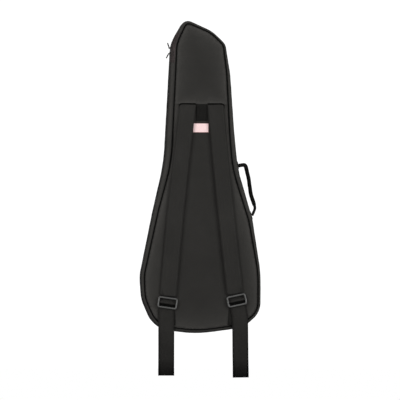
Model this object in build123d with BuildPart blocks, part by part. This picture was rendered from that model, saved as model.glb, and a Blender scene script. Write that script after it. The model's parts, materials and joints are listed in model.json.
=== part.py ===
from build123d import *

import os
from math import atan2, cos, degrees, hypot, radians, sin, tan

# Padded gig bag for a full-size electric guitar, standing upright, in millimetres.
# +Z is up towards the headstock end, -Y is the worn side that carries the shoulder straps,
# and the zip lies in the plane y = 0. z = 0 is the lowest end of the hanging strap webbing.

# ---- driving dimensions ---------------------------------------------------------------

# Corners of the bag's outline seen square on: x, z, rounding radius, and how far the gusset
# turns in there before it meets the panel's piping.
neck_side_foot = (-118, 705, 600, 19)
headstock_shoulder = (-96.3, 1098, 120, 16)
OUTLINE = [
    (-12, 143, 400, 9),
    (-150, 161, 90, 8),
    (-192, 258, 130, 7.5),
    (-197, 335, 150, 9.5),
    (-154, 548, 700, 13),
    neck_side_foot,
    headstock_shoulder,
    (-52, 1175, 25, 9),
    (38, 1134, 110, 6.5),
    (81, 1092, 36, 7),
    (96.5, 995, 260, 11),
    (110, 800, 1500, 15),
    (122, 683, 400, 17),
    (170, 516, 220, 12.5),
    (196, 345, 420, 8),
    (196, 215, 70, 8),
    (140, 164, 95, 9),
]

skin = 1.2              # thickness of the outer fabric
gap = 0.2               # clearance kept between neighbouring pieces
foam_wall = 9.0         # padding thickness in the gussets
lining_skin = 0.8

zip_edge = 14.0         # |y| where the gusset fabric ends and the zip tape shows
shoulder_y = 34.0       # |y| where the gusset starts to turn towards the panel
panel_y = 43.0          # |y| of the main panels' outer faces
piping_overlap = 0.4    # how far the piping covers the gusset's turned-in edge
piping_width = 3.4
piping_height = 3.3

tooth_gap = 0.8         # half the space between the two rows of teeth
tooth_row = 4.0         # |y| where a row of teeth ends

spine_low = 330.0       # the zip stops here on the hinge side and the fabric spine begins
spine_high = 985.0

seam_z = 895.0          # cross seam on the back where straps and hang loop are sewn in
strap_width = 54.0
strap_corner = 8.0      # rounding of a strap's ends
strap_foam = 10.0
strap_back_y = 47.8     # |y| of the strap face that lies on the back panel
webbing_width = 50.0
webbing_thickness = 2.0
buckle_y = 54.0         # |y| of the slider buckles' middle plane
buckle_width = 64.0
buckle_height = 36.0

pocket_inset = 20.0
pocket_low = 190.0
pocket_high = 575.0
pocket_y = 60.0         # y of the pocket panel's inner face
pocket_zip_z = 525.0

handle_y = -23.5        # the carry handle is sewn to the back half of the gusset
handle_strap_width = 25.0
handle_grip_width = 28.0


# ---- shared helpers -------------------------------------------------------------------

def finish_piece(part, name):
    part.part.label = name
    export_step(part.part, f"parts/{name}.step")


def facing(y):
    """Plane across the bag at depth y, drawn in x and z; extruding goes towards -Y."""
    return Plane.XZ.offset(-y)


def rounded_face(corners, inset):
    """A closed shape with rounded corners, drawn in by inset, inside the current sketch."""
    with BuildLine() as border:
        FilletPolyline(*[(x, z) for x, z, _ in corners], radius=[r for _, _, r in corners], close=True)
    make_face(border.edges())
    if inset:
        offset(amount=-inset)


def outline_face(inset):
    """The bag's outline, drawn in by inset."""
    rounded_face([corner[:3] for corner in OUTLINE], inset)


def panel_edge_corners():
    """The outline's corners moved in along their bisectors to where the gusset meets the panel."""
    corners = []
    for before, corner, after in zip(OUTLINE[-1:] + OUTLINE[:-1], OUTLINE, OUTLINE[1:] + OUTLINE[:1]):
        x, z, radius, turn_in = corner
        arriving = Vector(x - before[0], z - before[1]).normalized()
        leaving = Vector(after[0] - x, after[1] - z).normalized()
        inward = Vector(arriving.Y + leaving.Y, -arriving.X - leaving.X) / (1 + arriving.dot(leaving))
        convex = arriving.X * leaving.Y < arriving.Y * leaving.X
        corners.append((
            x + turn_in * inward.X, z + turn_in * inward.Y,
            radius - turn_in if convex else radius + turn_in,
        ))
    return corners


def panel_edge_face(inset):
    """The line where the gusset meets the panel, drawn in by inset."""
    rounded_face(panel_edge_corners(), inset)


def slab(face, y_from, y_to, inset, mode=Mode.ADD):
    """The shape that face draws, from y_from to y_to."""
    with BuildSketch(facing(y_from)) as profile:
        face(inset)
    extrude(profile.sketch, amount=y_from - y_to, mode=mode)


def ring(face, y_from, y_to, outer_inset, inner_inset):
    """A band along the shape that face draws, between two insets."""
    with BuildSketch(facing(y_from)) as profile:
        face(outer_inset)
        offset(amount=outer_inset - inner_inset, mode=Mode.SUBTRACT)
    extrude(profile.sketch, amount=y_from - y_to)


def domed_slab(side, y_near, y_turn, y_far, inset, edge_inset, mode=Mode.ADD):
    """Straight wall from y_near to y_turn, then drawn in to the panel's edge at y_far."""
    slab(outline_face, side * y_near, side * y_turn, inset, mode)
    with BuildSketch(facing(side * y_turn)) as wide:
        outline_face(inset)
    with BuildSketch(facing(side * y_far)) as narrow:
        panel_edge_face(edge_inset)
    loft([wide.sketch, narrow.sketch], ruled=True, mode=mode)


def block(x_range, y_range, z_range, mode=Mode.ADD):
    """A box given by its limits along the three axes."""
    middle = [(low + high) / 2 for low, high in (x_range, y_range, z_range)]
    sizes = [abs(high - low) for low, high in (x_range, y_range, z_range)]
    with Locations(tuple(middle)):
        Box(*sizes, mode=mode)


far = 400.0             # beyond the bag on every side, for cutting boxes
spine_box = ((60.0, far), (-far, far), (spine_low, spine_high))


# ---- the two padded halves: side -1 is the worn back half, +1 the front lid -------------

def gusset(side):
    """Outer side wall: a band that turns in over its shoulder towards the panel's piping."""
    with BuildPart() as piece:
        domed_slab(side, zip_edge, shoulder_y, panel_y, 0, 0)
        domed_slab(side, zip_edge, shoulder_y, panel_y, skin, skin, Mode.SUBTRACT)
    return piece


def foam_tray(side):
    """Padding: a floor behind the panel and a wall inside the gusset, in one sheet."""
    floor_y = panel_y - skin - gap
    with BuildPart() as piece:
        domed_slab(
            side, zip_edge + gap, shoulder_y - gap, floor_y,
            skin + gap, skin + 2 * gap,
        )
        slab(
            outline_face, side * (zip_edge + gap), side * (floor_y - foam_wall),
            skin + gap + foam_wall, Mode.SUBTRACT,
        )
    return piece


def lining_tray(side):
    """Thin plush lining over the padding's inner faces."""
    floor_y = panel_y - skin - 2 * gap - foam_wall
    wall = skin + 2 * gap + foam_wall
    with BuildPart() as piece:
        slab(outline_face, side * (zip_edge + gap), side * floor_y, wall)
        slab(
            outline_face, side * (zip_edge + gap), side * (floor_y - lining_skin),
            wall + lining_skin, Mode.SUBTRACT,
        )
    return piece


def piping_ring(side):
    """Corded edge over the seam between panel and gusset."""
    with BuildPart() as piece:
        ring(
            panel_edge_face, side * (panel_y + gap / 2), side * (panel_y + piping_height),
            -piping_overlap, piping_width - piping_overlap,
        )
    return piece


def zip_tape(side):
    with BuildPart() as piece:
        ring(outline_face, side * (tooth_row + gap / 2), side * (zip_edge - gap / 2), 0.6, 1.6)
        block(*spine_box, mode=Mode.SUBTRACT)
    return piece


def zip_teeth(side):
    with BuildPart() as piece:
        ring(outline_face, side * tooth_gap, side * tooth_row, -0.6, 2.4)
        block(*spine_box, mode=Mode.SUBTRACT)
    return piece


panel_inset = piping_width - piping_overlap


os.makedirs("parts", exist_ok=True)

for side, half in ((-1, "back"), (1, "front")):
    finish_piece(gusset(side), f"{half}_gusset")
    finish_piece(foam_tray(side), f"{half}_foam")
    finish_piece(lining_tray(side), f"{half}_lining")
    finish_piece(piping_ring(side), f"{half}_piping")
    finish_piece(zip_tape(side), f"zip_tape_{half}")
    finish_piece(zip_teeth(side), f"zip_teeth_{half}")

with BuildPart() as front_panel:
    slab(panel_edge_face, panel_y - skin, panel_y, panel_inset)
finish_piece(front_panel, "front_panel")

with BuildPart() as back_panel_upper:
    slab(panel_edge_face, -(panel_y - skin), -panel_y, panel_inset)
    block((-far, far), (-far, far), (0, seam_z + gap), mode=Mode.SUBTRACT)
finish_piece(back_panel_upper, "back_panel_upper")

with BuildPart() as back_panel_lower:
    slab(panel_edge_face, -(panel_y - skin), -panel_y, panel_inset)
    block((-far, far), (-far, far), (seam_z - gap, 4 * far), mode=Mode.SUBTRACT)
finish_piece(back_panel_lower, "back_panel_lower")

# Fabric spine on the right, the bag's cloth hinge, between the two ends of the zip.
with BuildPart() as spine_web:
    ring(outline_face, zip_edge - gap / 2, -(zip_edge - gap / 2), 0.1, 1.6)
    block((60.0, far), (-far, far), (spine_low + gap, spine_high - gap), mode=Mode.INTERSECT)
finish_piece(spine_web, "spine_web")

# Rubberised scuff guard wrapped over the gusset beside the headstock.
guard_skin = 0.8
guard_low, guard_high = 1030.0, 1130.0
with BuildPart() as headstock_guard:
    domed_slab(-1, zip_edge + 1, shoulder_y, panel_y, -0.1 - guard_skin, -0.1 - guard_skin)
    domed_slab(-1, zip_edge + 1, shoulder_y, panel_y, -0.1, -0.1, Mode.SUBTRACT)
    block((-far, -40.0), (-far, far), (guard_low, guard_high), mode=Mode.INTERSECT)
finish_piece(headstock_guard, "headstock_guard")

# Blank woven label on the back panel, below the hang loop.
with BuildPart() as label_patch:
    block((-27.0, 24.0), (-(panel_y + 0.9), -(panel_y + 0.1)), (801.0, 831.0))
finish_piece(label_patch, "label_patch")

# Strap inside the bag that holds the instrument's neck, sewn to the back lining at both ends.
neck_strap_z = 800.0
neck_strap_floor = panel_y - skin - 3 * gap - foam_wall - lining_skin
with BuildPart() as neck_strap:
    with BuildSketch(Plane.XY.offset(neck_strap_z - 19)):
        with BuildLine():
            FilletPolyline(
                (-62, -neck_strap_floor + 1), (-46, -neck_strap_floor + 1), (-34, -4),
                (34, -4), (46, -neck_strap_floor + 1), (62, -neck_strap_floor + 1),
                radius=5,
            )
        trace(line_width=1.8)
    extrude(amount=38)
finish_piece(neck_strap, "neck_strap")


# ---- front accessory pocket -------------------------------------------------------------

def pocket_face(inset):
    outline_face(pocket_inset + inset)
    with Locations((0, (pocket_low + pocket_high) / 2)):
        Rectangle(2 * far, pocket_high - pocket_low - 2 * inset, mode=Mode.INTERSECT)


def pocket_slab(y_from, y_to, inset, mode=Mode.ADD):
    with BuildSketch(facing(y_from)) as profile:
        pocket_face(inset)
    extrude(profile.sketch, amount=y_from - y_to, mode=mode)


pocket_floor = panel_y + gap / 2
with BuildPart() as pocket_gusset:
    pocket_slab(pocket_floor, pocket_y, 0)
    pocket_slab(pocket_floor, pocket_y, skin, Mode.SUBTRACT)
finish_piece(pocket_gusset, "pocket_gusset")

with BuildPart() as pocket_piping:
    pocket_slab(pocket_y + gap / 2, pocket_y + piping_height, 0)
    pocket_slab(pocket_y + gap / 2, pocket_y + piping_height, piping_width, Mode.SUBTRACT)
finish_piece(pocket_piping, "pocket_piping")

zip_half = 13.0         # half the height of the slot that the pocket's zip fills
with BuildPart() as pocket_panel_lower:
    pocket_slab(pocket_y + gap / 2, pocket_y + gap / 2 + skin, piping_width + gap)
    block((-far, far), (0, far), (pocket_zip_z - zip_half, 2 * far), mode=Mode.SUBTRACT)
finish_piece(pocket_panel_lower, "pocket_panel_lower")

with BuildPart() as pocket_panel_upper:
    pocket_slab(pocket_y + gap / 2, pocket_y + gap / 2 + skin, piping_width + gap)
    block((-far, far), (0, far), (0, pocket_zip_z + zip_half), mode=Mode.SUBTRACT)
finish_piece(pocket_panel_upper, "pocket_panel_upper")

with BuildPart() as pocket_zip_tape:
    pocket_slab(pocket_y + 0.2, pocket_y + 1.2, piping_width + gap)
    block((-far, far), (0, far), (pocket_zip_z - zip_half + gap, pocket_zip_z + zip_half - gap),
          mode=Mode.INTERSECT)
    block((-far, far), (0, far), (pocket_zip_z - tooth_row - gap, pocket_zip_z + tooth_row + gap),
          mode=Mode.SUBTRACT)
finish_piece(pocket_zip_tape, "pocket_zip_tape")

with BuildPart() as pocket_zip_teeth:
    pocket_slab(pocket_y - 0.8, pocket_y + 2.2, piping_width + gap)
    block((-far, far), (0, far), (pocket_zip_z - tooth_row, pocket_zip_z + tooth_row),
          mode=Mode.INTERSECT)
    block((-far, far), (0, far), (pocket_zip_z - tooth_gap, pocket_zip_z + tooth_gap),
          mode=Mode.SUBTRACT)
finish_piece(pocket_zip_teeth, "pocket_zip_teeth")


# ---- zip sliders and their pulls ---------------------------------------------------------

slider_length = 14.0
slider_width = 11.0
plate_rise = 0.9        # outer plate's clearance height above the tape's reference face
plate = 2.0
inner_plate_depth = -2.8
pin_rise = plate_rise + plate + 2.3
pin_radius = 0.8
pull_length = 18.0
pull_width = 7.0


def zip_slider(track):
    """Two plates joined by the wedge that runs between the rows of teeth.

    track is a plane on the zip: its x runs along the teeth and its z points outwards.
    """
    with BuildPart(track) as piece:
        with Locations((0, 0, plate_rise)):
            Box(slider_length, slider_width, plate, align=(Align.CENTER, Align.CENTER, Align.MIN))
        with Locations((0, 0, inner_plate_depth)):
            Box(5, 2 * tooth_gap - 0.4, plate_rise - inner_plate_depth + 0.1,
                align=(Align.CENTER, Align.CENTER, Align.MIN))
            Box(slider_length, slider_width, 1.4, align=(Align.CENTER, Align.CENTER, Align.MAX))
        with Locations((0, -3.4, plate_rise + plate), (0, 3.4, plate_rise + plate)):
            Box(4, 1.2, 3.4, align=(Align.CENTER, Align.CENTER, Align.MIN))
        with Locations((0, 0, pin_rise)):
            Cylinder(pin_radius, 7, rotation=(90, 0, 0))
    return piece


def zip_pull(track, lean):
    """Flat tab with an eye round the slider's pin. lean is its angle from the track's x axis."""
    pin = track.offset(pin_rise)
    tab_plane = Plane(
        origin=pin.origin,
        x_dir=pin.x_dir * cos(radians(lean)) + pin.z_dir * sin(radians(lean)),
        z_dir=pin.z_dir * cos(radians(lean)) - pin.x_dir * sin(radians(lean)),
    )
    with BuildPart(tab_plane) as piece:
        Cylinder(1.9, 5.2, rotation=(90, 0, 0))
        with Locations((1.0, 0, 0)):
            Box(4, 5.2, 1.6, align=(Align.MIN, Align.CENTER, Align.CENTER))
        with BuildSketch(tab_plane.offset(-0.8)) as tab:
            with Locations((4 + (pull_length - 4) / 2, 0)):
                RectangleRounded(pull_length - 4, pull_width, 2.4)
        extrude(tab.sketch, amount=1.6)
        Cylinder(pin_radius + 0.08, 6, rotation=(90, 0, 0), mode=Mode.SUBTRACT)
    return piece


# The neck side is straight and the shoulder above it is one arc: both are zip tracks.
run = (headstock_shoulder[0] - neck_side_foot[0], headstock_shoulder[1] - neck_side_foot[1])
side_lean = degrees(atan2(run[0], run[1]))
headstock_tip = OUTLINE[OUTLINE.index(headstock_shoulder) + 1]
after = (headstock_tip[0] - headstock_shoulder[0], headstock_tip[1] - headstock_shoulder[1])
shoulder_turn = degrees(atan2(after[0], after[1])) - side_lean
tangent = headstock_shoulder[2] * tan(radians(shoulder_turn / 2))
arc_start = (
    headstock_shoulder[0] - tangent * sin(radians(side_lean)),
    headstock_shoulder[1] - tangent * cos(radians(side_lean)),
)
arc_centre = (
    arc_start[0] + headstock_shoulder[2] * cos(radians(side_lean)),
    arc_start[1] - headstock_shoulder[2] * sin(radians(side_lean)),
)
lower_slider_drop = 7.0     # below the start of the arc
upper_slider_turn = 5.4     # degrees round the arc


def track_plane(x, z, lean):
    """Plane on the left zip: x up the track, z outwards, for a track leaning by lean degrees."""
    up = Vector(sin(radians(lean)), 0, cos(radians(lean)))
    out = Vector(-cos(radians(lean)), 0, sin(radians(lean)))
    return Plane(origin=(x, 0, z), x_dir=up, z_dir=out)


lower_track = track_plane(
    arc_start[0] - lower_slider_drop * sin(radians(side_lean)),
    arc_start[1] - lower_slider_drop * cos(radians(side_lean)),
    side_lean,
)
upper_lean = side_lean + upper_slider_turn
upper_track = track_plane(
    arc_centre[0] - headstock_shoulder[2] * cos(radians(upper_lean)),
    arc_centre[1] + headstock_shoulder[2] * sin(radians(upper_lean)),
    upper_lean,
)
pocket_track = Plane(origin=(-110, pocket_y + 1.6, pocket_zip_z), x_dir=(1, 0, 0), z_dir=(0, 1, 0))

finish_piece(zip_slider(lower_track), "zip_slider_lower")
finish_piece(zip_pull(lower_track, 155), "zip_pull_lower")
finish_piece(zip_slider(upper_track), "zip_slider_upper")
finish_piece(zip_pull(upper_track, 28), "zip_pull_upper")
finish_piece(zip_slider(pocket_track), "pocket_slider")
finish_piece(zip_pull(pocket_track, 4), "pocket_pull")


# ---- side carry handle --------------------------------------------------------------------

handle_thickness = 2.4
handle_path = [(125, 694), (147, 698), (158, 652), (165, 600), (180, 555), (169.5, 531)]
grip_path = [(149.3, 686), (158, 652), (165, 600), (177.3, 563)]


def ribbon(points, radius, thickness, width, mode=Mode.ADD):
    """A band of constant thickness that follows points in x and z, centred on the handle's y."""
    with BuildSketch(facing(handle_y + width / 2)) as band:
        with BuildLine() as path:
            FilletPolyline(*points, radius=radius)
        trace(path.edges(), line_width=thickness)
    extrude(band.sketch, amount=width, mode=mode)


grip_top = grip_path[0][1]
grip_foot = grip_path[-1][1]
with BuildPart() as handle_webbing_upper:
    ribbon(handle_path, 9, handle_thickness, handle_strap_width)
    block((0, far), (-far, far), (grip_top + 1, 2 * far), mode=Mode.INTERSECT)
finish_piece(handle_webbing_upper, "handle_webbing_upper")

with BuildPart() as handle_webbing_lower:
    ribbon(handle_path, 9, handle_thickness, handle_strap_width)
    block((0, far), (-far, far), (0, grip_foot - 2), mode=Mode.INTERSECT)
finish_piece(handle_webbing_lower, "handle_webbing_lower")

with BuildPart() as handle_grip:
    ribbon(grip_path, 20, 11, handle_grip_width)
    fillet(handle_grip.edges().filter_by(Axis.Y), 2)
finish_piece(handle_grip, "handle_grip")

# Box-stitched patches that carry the two ends of the handle.
with BuildPart() as handle_anchors:
    ring(outline_face, handle_y + 9, handle_y - 9, -1.5, -0.1)
    with BuildPart(mode=Mode.PRIVATE) as patches:
        block((60, far), (-far, far), (680, 710))
        block((60, far), (-far, far), (515, 545))
    add(patches.part, mode=Mode.INTERSECT)
finish_piece(handle_anchors, "handle_anchors")


# ---- hang loop ----------------------------------------------------------------------------

with BuildPart() as hang_loop:
    with BuildSketch(facing(-(panel_y + 3.0))):
        with Locations((1.2, seam_z - 29)):
            RectangleRounded(36.4, 54, 4)
    extrude(amount=3.6)
finish_piece(hang_loop, "hang_loop")


# ---- shoulder straps ----------------------------------------------------------------------

# Middle of each strap's top and lower end, the buckle's middle and lean, the path of the tail's
# middle from inside the buckle to its cut end, and where the webbing leg leaves the bottom seam.
STRAPS = {
    "left": {
        "top": (-44.5, seam_z - 3), "end": (-109.2, 268), "buckle": (-111, 243.5),
        "buckle_lean": 8.0, "tail": [(-112, 243.5), (-114.6, 200), (-115, 6)], "leg_x": -108.0,
    },
    "right": {
        "top": (47, seam_z - 3), "end": (110.5, 275.5), "buckle": (115.5, 251.5),
        "buckle_lean": -12.0, "tail": [(117, 251.5), (126, 192), (129, 0)], "leg_x": 111.0,
    },
}


def strap_plane(strap, depth):
    """Plane of a strap layer: x runs down the strap, z points away from the bag."""
    (x1, z1), (x2, z2) = strap["top"], strap["end"]
    return Plane(origin=(x1, -depth, z1), x_dir=(x2 - x1, 0, z2 - z1), z_dir=(0, -1, 0))


def strap_layer(strap, depth, thickness, margin, mode=Mode.ADD):
    """A long plate with rounded lower corners, margin inside the strap's full width."""
    (x1, z1), (x2, z2) = strap["top"], strap["end"]
    length = hypot(x2 - x1, z2 - z1)
    with BuildSketch(strap_plane(strap, depth)) as layer:
        with Locations((margin + (length - 2 * margin) / 2, 0)):
            RectangleRounded(length - 2 * margin, strap_width - 2 * margin, strap_corner - margin)
    extrude(layer.sketch, amount=thickness, mode=mode)


def buckle_plane(strap, along=0.0):
    """Plane of a buckle moved along the strap: x runs across it, y up it, z away from the bag."""
    lean = radians(strap["buckle_lean"])
    x, z = strap["buckle"]
    return Plane(
        origin=(x + along * sin(lean), -buckle_y, z + along * cos(lean)),
        x_dir=(cos(lean), 0, -sin(lean)),
        z_dir=(0, -1, 0),
    )


bar_radius = 2.0
bar_pitch = buckle_height / 2 - bar_radius
rim_top = 6.3           # front of the buckle's rim, measured from its middle plane
rim_thickness = 1.6
rail = 5.0              # width of the buckle's two sides
slack = bar_radius + 0.3    # inner radius of webbing turned round a bar
binding_margin = 4.0
leg_foot = 172.0        # z where the webbing legs leave the bottom seam

for name, strap in STRAPS.items():
    with BuildPart() as strap_foam_pad:
        strap_layer(strap, strap_back_y + skin + gap, strap_foam, binding_margin + gap)
    finish_piece(strap_foam_pad, f"strap_{name}_foam")

    with BuildPart() as strap_mesh:
        strap_layer(strap, strap_back_y, skin, 1.0)
    finish_piece(strap_mesh, f"strap_{name}_mesh")

    with BuildPart() as strap_face:
        strap_layer(strap, strap_back_y + skin + strap_foam + 2 * gap, skin, 1.0)
    finish_piece(strap_face, f"strap_{name}_face")

    with BuildPart() as strap_binding:
        strap_layer(strap, strap_back_y + skin + gap, strap_foam, 0)
        strap_layer(strap, strap_back_y + skin + gap, strap_foam, binding_margin, Mode.SUBTRACT)
    finish_piece(strap_binding, f"strap_{name}_binding")

    # Slider buckle: three round bars between two rails, with a raised rim over the outer bars.
    with BuildPart(buckle_plane(strap)) as buckle:
        with Locations((0, bar_pitch, 0), (0, 0, 0), (0, -bar_pitch, 0)):
            Cylinder(bar_radius, buckle_width - rail, rotation=(0, 90, 0))
        with Locations((0, 0, -bar_radius)):
            with GridLocations(buckle_width - rail, 0, 2, 1):
                Box(rail, buckle_height, bar_radius + rim_top,
                    align=(Align.CENTER, Align.CENTER, Align.MIN))
        with Locations((0, bar_pitch, rim_top - rim_thickness)):
            Box(buckle_width, 2 * bar_radius, rim_thickness, align=(Align.CENTER, Align.CENTER, Align.MIN))
        with Locations((0, -bar_pitch, 0)):
            Box(buckle_width, 2 * bar_radius, rim_top, align=(Align.CENTER, Align.CENTER, Align.MIN))
    finish_piece(buckle, f"buckle_{name}")

    # Webbing tab that ties the buckle's top bar to the end of the padded strap.
    tab_bar = buckle_plane(strap, bar_pitch)
    with BuildPart(tab_bar) as strap_tab:
        Cylinder(slack + webbing_thickness, webbing_width - 4, rotation=(0, 90, 0))
        with Locations((0, 2, 0)):
            Box(webbing_width - 4, 18, webbing_thickness,
                align=(Align.CENTER, Align.MIN, Align.CENTER))
        Cylinder(slack, webbing_width, rotation=(0, 90, 0), mode=Mode.SUBTRACT)
        strap_layer(strap, strap_back_y, 15, -0.4, Mode.SUBTRACT)
    finish_piece(strap_tab, f"strap_{name}_tab")

    # The adjusting webbing turns over the middle bar and passes behind the lower one; its loose
    # tail hangs from there and is a piece of its own, as it bends at the lower bar.
    with BuildPart(buckle_plane(strap)) as strap_wrap:
        Cylinder(slack + webbing_thickness, webbing_width - 4, rotation=(0, 90, 0))
        with Locations((0, 0, -slack)):
            Box(webbing_width - 4, bar_pitch - gap, webbing_thickness,
                align=(Align.CENTER, Align.MAX, Align.MAX))
        Cylinder(slack, webbing_width, rotation=(0, 90, 0), mode=Mode.SUBTRACT)
    finish_piece(strap_wrap, f"strap_{name}_wrap")

    with BuildPart() as strap_tail:
        with BuildSketch(facing(slack + webbing_thickness - buckle_y)) as band:
            with BuildLine() as path:
                FilletPolyline(*strap["tail"], radius=120)
            trace(path.edges(), line_width=webbing_width)
        extrude(band.sketch, amount=webbing_thickness)
        with Locations(buckle_plane(strap, -bar_pitch)):
            Box(2 * buckle_width, buckle_height, 6 * bar_radius,
                align=(Align.CENTER, Align.MIN, Align.CENTER), mode=Mode.SUBTRACT)
    finish_piece(strap_tail, f"strap_{name}_tail")

    # Anchored leg: rises from the bottom seam behind the buckle.
    leg_top = strap["buckle"][1] - 6
    with BuildPart() as strap_leg:
        with BuildSketch(facing(-(panel_y + piping_height + 0.4))):
            with BuildLine():
                Polyline((strap["leg_x"], leg_foot), (strap["buckle"][0], leg_top))
            trace(line_width=webbing_width)
        extrude(amount=webbing_thickness - 0.2)
    finish_piece(strap_leg, f"strap_{name}_leg")
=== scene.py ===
import json
import math

import bmesh
import bpy
import numpy as np
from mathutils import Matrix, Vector, geometry, noise


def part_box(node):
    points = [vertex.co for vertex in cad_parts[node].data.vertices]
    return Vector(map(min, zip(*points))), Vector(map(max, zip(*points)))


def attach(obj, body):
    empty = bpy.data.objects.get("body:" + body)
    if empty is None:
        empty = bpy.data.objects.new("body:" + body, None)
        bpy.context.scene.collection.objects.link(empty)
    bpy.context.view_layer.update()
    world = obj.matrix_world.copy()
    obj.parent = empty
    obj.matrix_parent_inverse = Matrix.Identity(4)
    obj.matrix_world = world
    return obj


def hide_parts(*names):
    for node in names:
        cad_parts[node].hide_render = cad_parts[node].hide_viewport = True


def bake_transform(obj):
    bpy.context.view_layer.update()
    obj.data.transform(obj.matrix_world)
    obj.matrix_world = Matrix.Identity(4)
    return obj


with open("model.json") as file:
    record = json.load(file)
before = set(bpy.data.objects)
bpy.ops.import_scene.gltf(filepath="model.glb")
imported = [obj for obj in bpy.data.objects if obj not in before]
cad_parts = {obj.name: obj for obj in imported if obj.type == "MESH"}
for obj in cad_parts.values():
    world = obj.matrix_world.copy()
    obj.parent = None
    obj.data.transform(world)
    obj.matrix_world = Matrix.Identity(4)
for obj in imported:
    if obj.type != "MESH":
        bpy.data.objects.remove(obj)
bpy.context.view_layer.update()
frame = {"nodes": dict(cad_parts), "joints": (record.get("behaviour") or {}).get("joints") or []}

# Looks of the padded gig bag, built round its CAD frame. Lengths are in millimetres in the row
# frame (+Z up to the headstock end, -Y the worn side) and turn into metres when a mesh is made.
MM = 0.001


# ---- places taken from the frame ---------------------------------------------------------

def box(node):
    low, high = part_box(node)
    return np.array(low) / MM, np.array(high) / MM


def joint(name):
    """Axis and pivot of a joint."""
    found = next(j for j in frame["joints"] if j["name"] == name)
    return np.array(found["axis"], float), np.array(found.get("pos_m", (0, 0, 0)), float) / MM


def border_loop(node, y):
    """Outer border of a CAD node's flat face at depth y: (x, z) points, clockwise from the lowest."""
    bm = bmesh.new()
    bm.from_mesh(frame["nodes"][node].data)
    bmesh.ops.remove_doubles(bm, verts=bm.verts, dist=1e-6)
    flat = {f for f in bm.faces if all(abs(v.co.y / MM - y) < 0.02 for v in f.verts)}
    links = {}
    for e in bm.edges:
        if sum(f in flat for f in e.link_faces) == 1:
            for a, b in (e.verts, reversed(e.verts)):
                links.setdefault(a, []).append(b)
    loops = []
    waiting = dict.fromkeys(links)
    while waiting:
        here = next(iter(waiting))
        loop = []
        while here is not None:
            del waiting[here]
            loop.append((here.co.x / MM, here.co.z / MM))
            here = next((v for v in links[here] if v in waiting), None)
        loops.append(np.array(loop))
    bm.free()
    widest = max(loops, key=lambda points: np.prod(np.ptp(points, axis=0)))
    ahead = np.roll(widest, -1, axis=0)
    if np.sum(widest[:, 0] * ahead[:, 1] - widest[:, 1] * ahead[:, 0]) > 0:
        widest = widest[::-1]
    return np.roll(widest, -int(np.argmin(widest[:, 1])), axis=0)


def resample(points, step, closed=True):
    """Points about step apart along a line through the given points."""
    if closed:
        points = np.vstack([points, points[:1]])
    along = np.concatenate([[0], np.cumsum(np.linalg.norm(np.diff(points, axis=0), axis=1))])
    count = max(2, round(along[-1] / step))
    places = np.linspace(0, along[-1], count + 1)
    if closed:
        places = places[:-1]
    return np.stack([np.interp(places, along, column) for column in points.T], axis=1)


def smooth(values, reach, closed=True):
    """Moving average over reach neighbours on each side; open lines keep their ends."""
    kernel = np.ones(2 * reach + 1) / (2 * reach + 1)
    table = values.reshape(len(values), -1)
    if closed:
        padded = np.concatenate([table[-reach:], table, table[:reach]])
    else:
        start = 2 * table[:1] - table[reach:0:-1]
        end = 2 * table[-1:] - table[-2:-reach - 2:-1]
        padded = np.concatenate([start, table, end])
    out = np.stack([np.convolve(column, kernel, "valid") for column in padded.T], axis=1)
    return out.reshape(values.shape)


def rounded(points, radius, step=2.0):
    """An open path through points with its corners eased over about radius."""
    path = resample(np.array(points, float), step, closed=False)
    reach = max(1, round(radius / step / 2))
    for _ in range(2):
        path = smooth(path, reach, closed=False)
    return path


def inward_normals(loop):
    ahead = np.roll(loop, -1, axis=0) - np.roll(loop, 1, axis=0)
    ahead /= np.linalg.norm(ahead, axis=1)[:, None]
    return np.stack([ahead[:, 1], -ahead[:, 0]], axis=1)


def nearest(points, loop):
    """Index of the loop point nearest to each point, and the distance."""
    index, distance = [], []
    for start in range(0, len(points), 500):
        gaps = np.linalg.norm(points[start:start + 500, None] - loop[None], axis=2)
        index.append(gaps.argmin(1))
        distance.append(gaps.min(1))
    return np.concatenate(index), np.concatenate(distance)


zip_edge = box("front_gusset")[0][1]        # |y| where the gussets end beside the zip
panel_y = box("front_panel")[1][1]          # |y| of the main panels' outer faces
piping_top = box("front_piping")[1][1]
piping_height = piping_top - panel_y
bag_centre = np.array([0.0, 0.0, (box("front_gusset")[0][2] + box("front_gusset")[1][2]) / 2])

# The bag's edge seen square on: for each outline point, the way in to the panel and how far.
outline = resample(border_loop("front_gusset", zip_edge), 4.0)
panel_loop = resample(border_loop("front_panel", panel_y), 1.0)
found, _ = nearest(outline, panel_loop)
way_in = panel_loop[found] - outline
span = smooth(np.linalg.norm(way_in, axis=1), 4)
way_in = smooth(way_in / np.linalg.norm(way_in, axis=1)[:, None], 2)
way_in /= np.linalg.norm(way_in, axis=1)[:, None]
piping_width = 3.4
seam_in = span - 3.0                        # inset of the seam between gusset and panel
panel_loop = smooth(resample(outline + way_in * span[:, None], 4.0), 1)
seam_z = joint("strap_left_swing")[1][2]    # cross seam that holds the straps and the hang loop


# ---- meshes ------------------------------------------------------------------------------

def put_in_scene(name, content):
    thing = bpy.data.objects.new(name, content)
    bpy.context.scene.collection.objects.link(thing)
    return thing


def make_object(name, points, faces, face_uvs):
    mesh = bpy.data.meshes.new(name)
    mesh.from_pydata([tuple(p) for p in np.asarray(points) * MM], [], faces)
    layer = mesh.uv_layers.new(name="weave")
    flat_uvs = np.array([uv for corners in face_uvs for uv in corners], np.float32) * MM
    layer.data.foreach_set("uv", flat_uvs.ravel())
    mesh.polygons.foreach_set("use_smooth", [True] * len(mesh.polygons))
    return put_in_scene(name, mesh)


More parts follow.
